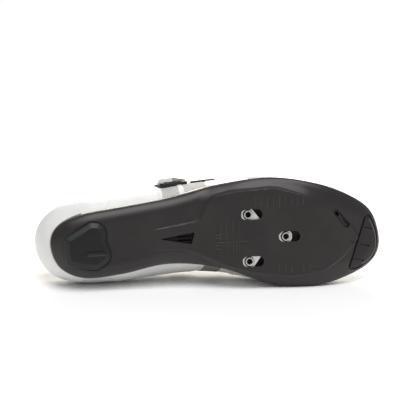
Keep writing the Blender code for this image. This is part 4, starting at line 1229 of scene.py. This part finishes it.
def buildTrim():
    thick = trim["rand"][-1]
    addLayer("rand", randPlace, (260 * mm, 10 * mm), thick, 0.2 * mm, (300, 8), "white")
    randLift = thick + laid["threadLift"]
    thick = trim["cap"][-1]
    addLayer("toe_cap", capPlace, (95 * mm, 30 * mm), thick, 0.15 * mm, (110, 36), "white")
    u = np.linspace(0.02, 0.98, 240)
    paths = [surfacePath(capPlace, u, level, thick + laid["threadLift"]) for level in (0.94, 0.87)]
    paths.append(surfacePath(randPlace, np.linspace(0.01, 0.99, 500), 0.8, randLift))
    start, end, low, high, thick = trim["eyestay"]
    for name, turned in (("eyestay", 0), ("eyestay_medial", 2)):
        def place(u, v, lift):
            turn = abs(turned - (start + (end - start) * u))
            return offWall(turn, low + (high - low) * v, lift)

        addLayer(name, place, (110 * mm, 11 * mm), thick, 0.1 * mm, (110, 12), "white")
        paths.append(surfacePath(place, u, 0.16, thick + laid["threadLift"]))
    sew("trim_stitches", paths, "fine", "upper")


def buildBinding():  # an oval section carried round the top edge, square to the wall
    turn = evenTurns(420)
    half, high, hang = trim["binding"]
    edge = offWall(turn, 1.0, -upper["wall"] / 2)
    normal = offWall(turn, 1.0, 1.0) - offWall(turn, 1.0, 0.0)
    slope = wallSlopes(turn, 1.0)[1]
    slope /= np.linalg.norm(slope, axis=-1, keepdims=True)
    rings = []
    for angle in np.arange(14) / 14 * 2 * np.pi:
        rings.append(edge + half * math.cos(angle) * normal + (high * math.sin(angle) - hang) * slope)
    mesh = gridMesh("collar_binding", np.stack(rings), True, True)
    newPiece("collar_binding", mesh, "binding", "shoe", slot="upper")


def buildPiping():
    start, end, above, lift, radius = trim["piping"]
    along = np.linspace(start, end, 160)
    mesh = tubeMesh("edge_piping", offWall(along, riseOverRim(along, above), lift), radius)
    newPiece("edge_piping", mesh, "cream", "shoe", slot="upper")


def buildLining():  # a cloth skin inside the wall, from the foot to just under the binding
    low, high, *lifts = trim["lining"]
    grid = np.meshgrid(evenTurns(300), np.linspace(low, high, 44))
    outer, inner = (offWall(*grid, lift) for lift in lifts)
    mesh = gridMesh("lining", np.concatenate([outer, inner[::-1]]), True, True)
    newPiece("lining", mesh, "lining", "shoe", slot="upper")


buildTrim()
buildBinding()
buildPiping()
buildLining()
print("trim ready")


# Insole
footbed = {"inset": 2.5 * mm, "gap": 0.5 * mm, "thickness": 3 * mm, "dish": 0.8 * mm, "round": 0.8 * mm}


def buildFootbed():
    # rings from the middle line to just inside the wall; the top is dished, and the border is rounded
    thick = footbed["thickness"]
    turn = evenTurns(280)
    edge = footLine(turn)[:, :2] - footbed["inset"] * outward(turn)
    middle = ring(turn, np.zeros_like(turn))
    rows = [(middle + (edge - middle) * share, 0) for share in np.linspace(0, 0.985, 12)]
    for angle in np.radians(np.linspace(-75, 75, 7)):
        flat = edge + (math.cos(angle) - 1) * footbed["round"] * outward(turn)
        rows.append((flat, thick / 2 * (1 + math.sin(angle))))
    for share in np.linspace(0.975, 0, 40):
        rows.append((middle + (edge - middle) * share, thick - footbed["dish"] * (1 - share**3)))
    rows = [raised(flat, trayHeight(flat[:, 0]) + footbed["gap"] + height) for flat, height in rows]
    mesh = gridMesh("footbed", np.stack(rows), loopColumns=True)
    newPiece("footbed", mesh, "footbed", "shoe", "insole", slot="insole")


buildFootbed()
print("insole ready")


# Tongue
tongue = {
    "gap": 0.8 * mm,
    "thickness": 2.2 * mm,
    "turns": (0.5, 0.985),
    "rises": (0.79, 0.90),  # of its hidden sides, outer and inner
    "tip": 26 * mm,
    "lean": (0.3, 0, 1.1),  # added to the way the tip heads
    "taper": (0.27, 0.7),  # how much narrower the tip is at its end, and the power that it follows
    "wings": 0.3,  # share of the hidden sides that is left where the tip begins
    "channels": (0.36, 0.5, 0.64),  # sewn lines along it, as shares of its width
    "crossLine": 0.035,  # and the one across its tip, as a share of its length
    "lineWidths": (0.022, 0.012),  # of the channels and of the cross line, as shares
    "endRound": (0.09, 0.4),  # share of its length over which the end closes in, and by how much
    "sunk": 0.7 * mm,
    "threadLift": -0.55 * mm,
}


def tongueControl():
    # under both edges of the throat, across it in a crown, and up past the collar's front
    lift = -(upper["wall"] + tongue["gap"])
    along = np.linspace(*tongue["turns"], 21)
    columns = [offWall(along, rise, lift) for rise in tongue["rises"]]
    columns += [bridge(along, share, lift) for share in (0.0, 0.25, 0.5, 0.75, 1.0)]
    columns += [offWall(2 - along, rise, lift) for rise in tongue["rises"][::-1]]
    body = np.stack(columns, 1)
    ease = np.interp(np.arange(len(body)), (0, 5), (tongue["wings"], 1))[:, None, None]
    for edge, wing in ((2, slice(0, 2)), (6, slice(7, 9))):  # what hides under the wall narrows to the tip
        body[:, wing] = body[:, [edge]] + (body[:, wing] - body[:, [edge]]) * ease
    heading = (body[0] - body[1])[2:-2].mean(0)
    heading = heading / np.linalg.norm(heading) + np.array(tongue["lean"])
    heading /= np.linalg.norm(heading)
    crossing = body[0, 2:-2]
    middle = crossing.mean(0)
    taper, power = tongue["taper"]
    tip = []
    for share in (1.0, 0.66, 0.33):
        row = crossing + heading * tongue["tip"] * share
        row[:, 1] = middle[1] + (row[:, 1] - middle[1]) * (1 - taper * share**power)
        hung = 1 - 0.6 * share
        lateral, medial = (body[0, 0:2] - body[0, 2]) * hung, (body[0, 7:9] - body[0, 6]) * hung
        tip.append(np.concatenate([row[0] + lateral, row, row[-1] + medial]))
    return np.concatenate([tip, body])


def buildTongue():
    surface = surfaceThrough(tongueControl())
    channelWidth, crossWidth = tongue["lineWidths"]
    reach, closing = tongue["endRound"]

    def padded(u, v, lift):  # the outer face sinks along each sewn line and fills out between them
        sunk = sum(np.exp(-(((v - line) / channelWidth) ** 2)) for line in tongue["channels"])
        sunk = sunk + np.exp(-(((u - tongue["crossLine"]) / crossWidth) ** 2))
        outer = np.clip(1 + lift / (0.5 * tongue["thickness"]), 0, 1)
        near = np.clip(u / reach, 0, 1)
        v = 0.5 + (v - 0.5) * (1 - closing * (1 - np.sqrt(1 - (1 - near) ** 2)))
        return surface(u, v, lift - tongue["sunk"] * np.clip(sunk, 0, 1) * outer)

    thick = tongue["thickness"]
    mesh = sheetMesh("padded_tongue", padded, (150 * mm, 55 * mm), thick, 1.1 * mm, (170, 100), -thick)
    newPiece("padded_tongue", mesh, "tongueMesh", "shoe", "tongue", slot="tongue")
    u = np.linspace(0.05, 0.95, 400)
    lift = tongue["threadLift"]
    paths = [surfacePath(surface, u, 0 * u + line, lift) for line in tongue["channels"]]
    across = np.linspace(0.24, 0.76, 80)
    paths.append(surfacePath(surface, tongue["crossLine"] + 0 * across, across, lift))
    sew("tongue_stitches", paths, "strong", "tongue")


buildTongue()
print("tongue ready")


# Straps
straps = {
    "gap": 0.6 * mm,
    "thickness": 1.8 * mm,
    "width": 20 * mm,
    "corner": 4 * mm,
    "seam": 2.0 * mm,
    "threadLift": 0.05 * mm,
    "seamEnds": (0.03, 0.97),
    "places": (  # piece, node, x at its lateral end and over the throat, rise at both ends, length, mm
        ("buckle_strap", "instep_strap", 105, 114, 0.66, 0.72, 88),
        ("front_strap", "forefoot_strap", 132, 150, 0.63, 0.74, 80),
    ),
}


def strapControl(lateralX, topX, lateralRise, medialRise):
    across, gap = np.array((-0.5, -0.17, 0.17, 0.5)) * straps["width"], straps["gap"]

    def rowAt(x, rise, medial):
        return offWall(turnAt(x, rise, medial), rise, gap)

    rows = []
    for share in np.linspace(0, 1, 8):
        x = lateralX * mm + (topX - lateralX) * mm * share + across
        rows.append(rowAt(x, lateralRise + (1 - lateralRise) * share, False))
    top = topX * mm + across
    rows += [bridge(turnAt(top, 1.0, False), share, gap) for share in (0.2, 0.4, 0.6, 0.8)]
    rows += [rowAt(top, rise, True) for rise in np.linspace(1, medialRise, 9)]
    return np.stack(rows, 1)


def buildStrap(name, node, lateralX, topX, lateralRise, medialRise, length):
    # the width closes in along a quarter circle at both ends, which rounds the corners
    surface = surfaceThrough(strapControl(lateralX, topX, lateralRise, medialRise))
    length *= mm
    corner, width = straps["corner"], straps["width"]

    def shaped(u, v, lift):
        near = np.clip(np.minimum(v, 1 - v) * length / corner, 0, 1)
        full = 1 - 2 * corner / width * (1 - np.sqrt(1 - (1 - near) ** 2))
        return surface(0.5 + (u - 0.5) * full, v, lift)

    mesh = sheetMesh(name, shaped, (width, length), straps["thickness"], 0.8 * mm, (36, 150))
    newPiece(name, mesh, "white", "shoe", node, slot=node)
    v = np.linspace(*straps["seamEnds"], 400)
    inset = straps["seam"] / width
    top = straps["thickness"] + straps["threadLift"]
    paths = [surfacePath(surface, 0 * v + side, v, top) for side in (inset, 1 - inset)]
    across = np.linspace(inset, 1 - inset, 60)
    paths += [surfacePath(surface, across, 0 * across + end, top) for end in straps["seamEnds"]]
    sew(name + "_stitches", paths, "strong", node)


ladder = {
    "x": (105 * mm, 110 * mm),  # at the buckle and at its upper end
    "rise": (0.50, 0.86),
    "width": 9 * mm,
    "lift": 2.42 * mm,
    "thickness": 0.9 * mm,
    "teeth": (12, 0.55 * mm),
}


def ladderPlace(u, v, lift):  # on the strap, with a saw profile along its outer face
    count, depth = ladder["teeth"]
    x = ladder["x"][0] + (ladder["x"][1] - ladder["x"][0]) * v + (u - 0.5) * ladder["width"]
    rise = ladder["rise"][0] + (ladder["rise"][1] - ladder["rise"][0]) * v
    outer = lift > 0.6 * ladder["thickness"]
    saw = np.mod(v * count, 1) * np.clip((1 - v) * 8, 0, 1) * np.clip(np.minimum(u, 1 - u) * 12, 0, 1)
    return offWall(turnAt(x, rise, False), rise, ladder["lift"] + lift + depth * saw * outer)


def buildLadder():
    size = (ladder["width"], 30 * mm)
    mesh = sheetMesh("ratchet_ladder", ladderPlace, size, ladder["thickness"], 0.3 * mm, (12, 150))
    newPiece("ratchet_ladder", mesh, "whitePlastic", "shoe", slot="instep_strap")


for values in straps["places"]:
    buildStrap(*values)
buildLadder()
print("straps ready")


# Buckle and the plate at the front strap's end
buckle = {
    "x": 105 * mm,
    "rise": 0.47,
    "size": (25 * mm, 18 * mm),
    "corner": 4 * mm,
    "gap": 0.4 * mm,
    "base": ((0.0, 1.5), (0.06, 1.9), (0.25, 2.3), (0.6, 2.52), (1.1, 2.6)),  # inset and level, mm
    "cap": (-10.0, -1.0, 2.9, 6.8, 3.0),  # rear, front, low, high and how far the rear face leans, mm
    "lever": (-0.7, 11.5, 2.9, 6.8, 1.0),  # rear, front, low, high and the front edge's height, mm
    "bend": (4.2 * mm, 1.15 * mm),  # where the lever's top bends: from its front edge, and over it
    "rounds": (0.9 * mm, 0.6 * mm),  # of the cap's corners and of the lever's
    "widths": (15 * mm, 13 * mm),  # of the cap and of the lever
}
strapPlate = {
    "x": 132 * mm,
    "rise": 0.47,
    "size": (21 * mm, 15 * mm),
    "corner": 3 * mm,
    "gap": 0.4 * mm,
    "profile": (  # inset and level, mm, with a groove along the border
        (0.0, 0.6), (0.05, 1.1), (0.25, 1.45), (0.6, 1.6), (1.7, 1.6), (1.9, 1.35), (2.4, 1.35), (2.6, 1.6),
    ),
}


def wallFrame(x, rise):  # a place on the lateral wall, and its axes: forwards, up the wall and outwards
    turn = turnAt(np.array(x), np.array(rise), False)
    along, up = wallSlopes(turn, np.array(rise))
    normal = np.cross(along, up)
    normal /= np.linalg.norm(normal)
    forward = along - normal * (along @ normal)
    forward /= np.linalg.norm(forward)
    return wall(turn, rise), np.stack([forward, np.cross(normal, forward), normal])


def seated(x, rise, flat, lift):
    # points on the wall that lie over points of its tangent plane, found by Newton steps
    centre, axes = wallFrame(x, rise)
    turn = np.full(flat.shape[:-1], turnAt(np.array(x), np.array(rise), False))
    rise = np.full(flat.shape[:-1], rise)
    for _ in range(8):
        along, up = wallSlopes(turn, rise)
        left = flat - (wall(turn, rise) - centre) @ axes[:2].T
        a, b = along @ axes[:2].T, up @ axes[:2].T
        scale = a[..., 0] * b[..., 1] - a[..., 1] * b[..., 0]
        turn = turn + (left[..., 0] * b[..., 1] - left[..., 1] * b[..., 0]) / scale
        rise = rise + (a[..., 0] * left[..., 1] - a[..., 1] * left[..., 0]) / scale
    return offWall(turn, rise, lift)


def roundedBox(length, width, corner):
    half = np.array([(1, -1), (1, 1), (-1, 1), (-1, -1)]) * (length / 2, width / 2)
    return rounded(half, corner, 9)


def wallPad(name, values, profile, flat):
    # the underside follows the wall; the profile climbs the side, and the top is flat or follows the wall too
    centre, axes = wallFrame(values["x"], values["rise"])
    shape = roundedBox(*values["size"], values["corner"])
    rows = [seated(values["x"], values["rise"], shape * share, values["gap"]) for share in (0.0, 0.5, 1.0)]
    shares = [(1, inset * mm, level * mm) for inset, level in profile]
    shares += [(share, profile[-1][0] * mm, profile[-1][1] * mm) for share in (0.8, 0.6, 0.4, 0.2, 0.0)]
    for share, inset, level in shares:
        points = grown(shape, -inset) * share
        if flat:
            rows.append(centre + points @ axes[:2] + axes[2] * level)
        else:
            rows.append(seated(values["x"], values["rise"], points, values["gap"] + level))
    return gridMesh(name, np.stack(rows), loopColumns=True)


def barMesh(name, corners, width, radius, centre, axes):
    # a side outline of (x, z) carried across the width, drawn in at both ends for a rounded edge
    def place(points):
        return centre + points[..., [0, 2, 1]] @ axes

    half, edge = width / 2, 0.6 * mm
    ends = ((edge, 0), (0.3 * edge, 0.3 * edge), (0, edge))  # inset, and how far in from the end
    profile = [(inset, into - half) for inset, into in ends]
    profile += [(inset, half - into) for inset, into in ends[::-1]]
    return blockMesh(name, counterclockwise(rounded(corners, radius, 7)), profile, place)


def buildBuckle():
    centre, axes = wallFrame(buckle["x"], buckle["rise"])
    mesh = wallPad("buckle_frame", buckle, buckle["base"], True)
    newPiece("buckle_frame", mesh, "blackPlastic", "shoe", "buckle_base", slot="buckle_base")
    (capRound, leverRound), (capWidth, leverWidth) = buckle["rounds"], buckle["widths"]
    back, front, low, high, lean = np.array(buckle["cap"]) * mm
    corners = np.array([(back, low), (front, low), (front, high), (back + lean, high)])
    mesh = barMesh("ratchet_cap", corners, capWidth, capRound, centre, axes)
    newPiece("ratchet_cap", mesh, "whitePlastic", "shoe", "buckle_cap", slot="buckle_cap")
    back, front, low, high, tip = np.array(buckle["lever"]) * mm
    bend = (front - buckle["bend"][0], low + tip + buckle["bend"][1])
    corners = np.array([(back, low), (front, low), (front, low + tip), bend, (back, high)])
    mesh = barMesh("release_lever", corners, leverWidth, leverRound, centre, axes)
    newPiece("release_lever", mesh, "olivePlastic", "shoe", "buckle_lever", slot="buckle_lever")


def buildStrapPlate():
    mesh = wallPad("strap_plate", strapPlate, strapPlate["profile"], False)
    newPiece("strap_plate", mesh, "blackPlastic", "shoe", "strap_anchor", slot="strap_anchor")


buildBuckle()
buildStrapPlate()
print("buckle ready")


# Vents: their solids stay and take a dark finish, and a grille lies over the toe vent's
def buildToeGrille():  # a layer that follows the underside, cut to the slot's outline, with two openings
    centre = onPlan(vent["place"])
    layer = soleLayer("toe_grille", vent["sunk"], vent["sunk"] + vent["thickness"])
    mesh = cut(layer, "INTERSECT", [prismMesh("plan", ventOutline(2 * vent["gap"]))])
    far, length, width = vent["round"]
    cos, sin = math.cos(vent["heading"]), math.sin(vent["heading"])
    axes = np.array([(cos, sin), (-sin, cos)])
    plans = [slotOutline(centre + far * axes[0], length, width, vent["heading"])]
    plans.append(rounded(counterclockwise(centre + np.array(vent["wedge"]) * mm @ axes), 0.4 * mm))
    mesh = cut(mesh, "DIFFERENCE", [prismMesh("opening", plan) for plan in plans])
    newPiece("toe_grille", mesh, "bumperRubber", "shoe", slot="toe_vent")


buildToeGrille()
for name in ("toe_vent", "arch_vent"):
    node = frame["nodes"][name]
    node.data.materials.clear()
    node.data.materials.append(finishes["ventAndShadeBlack"])
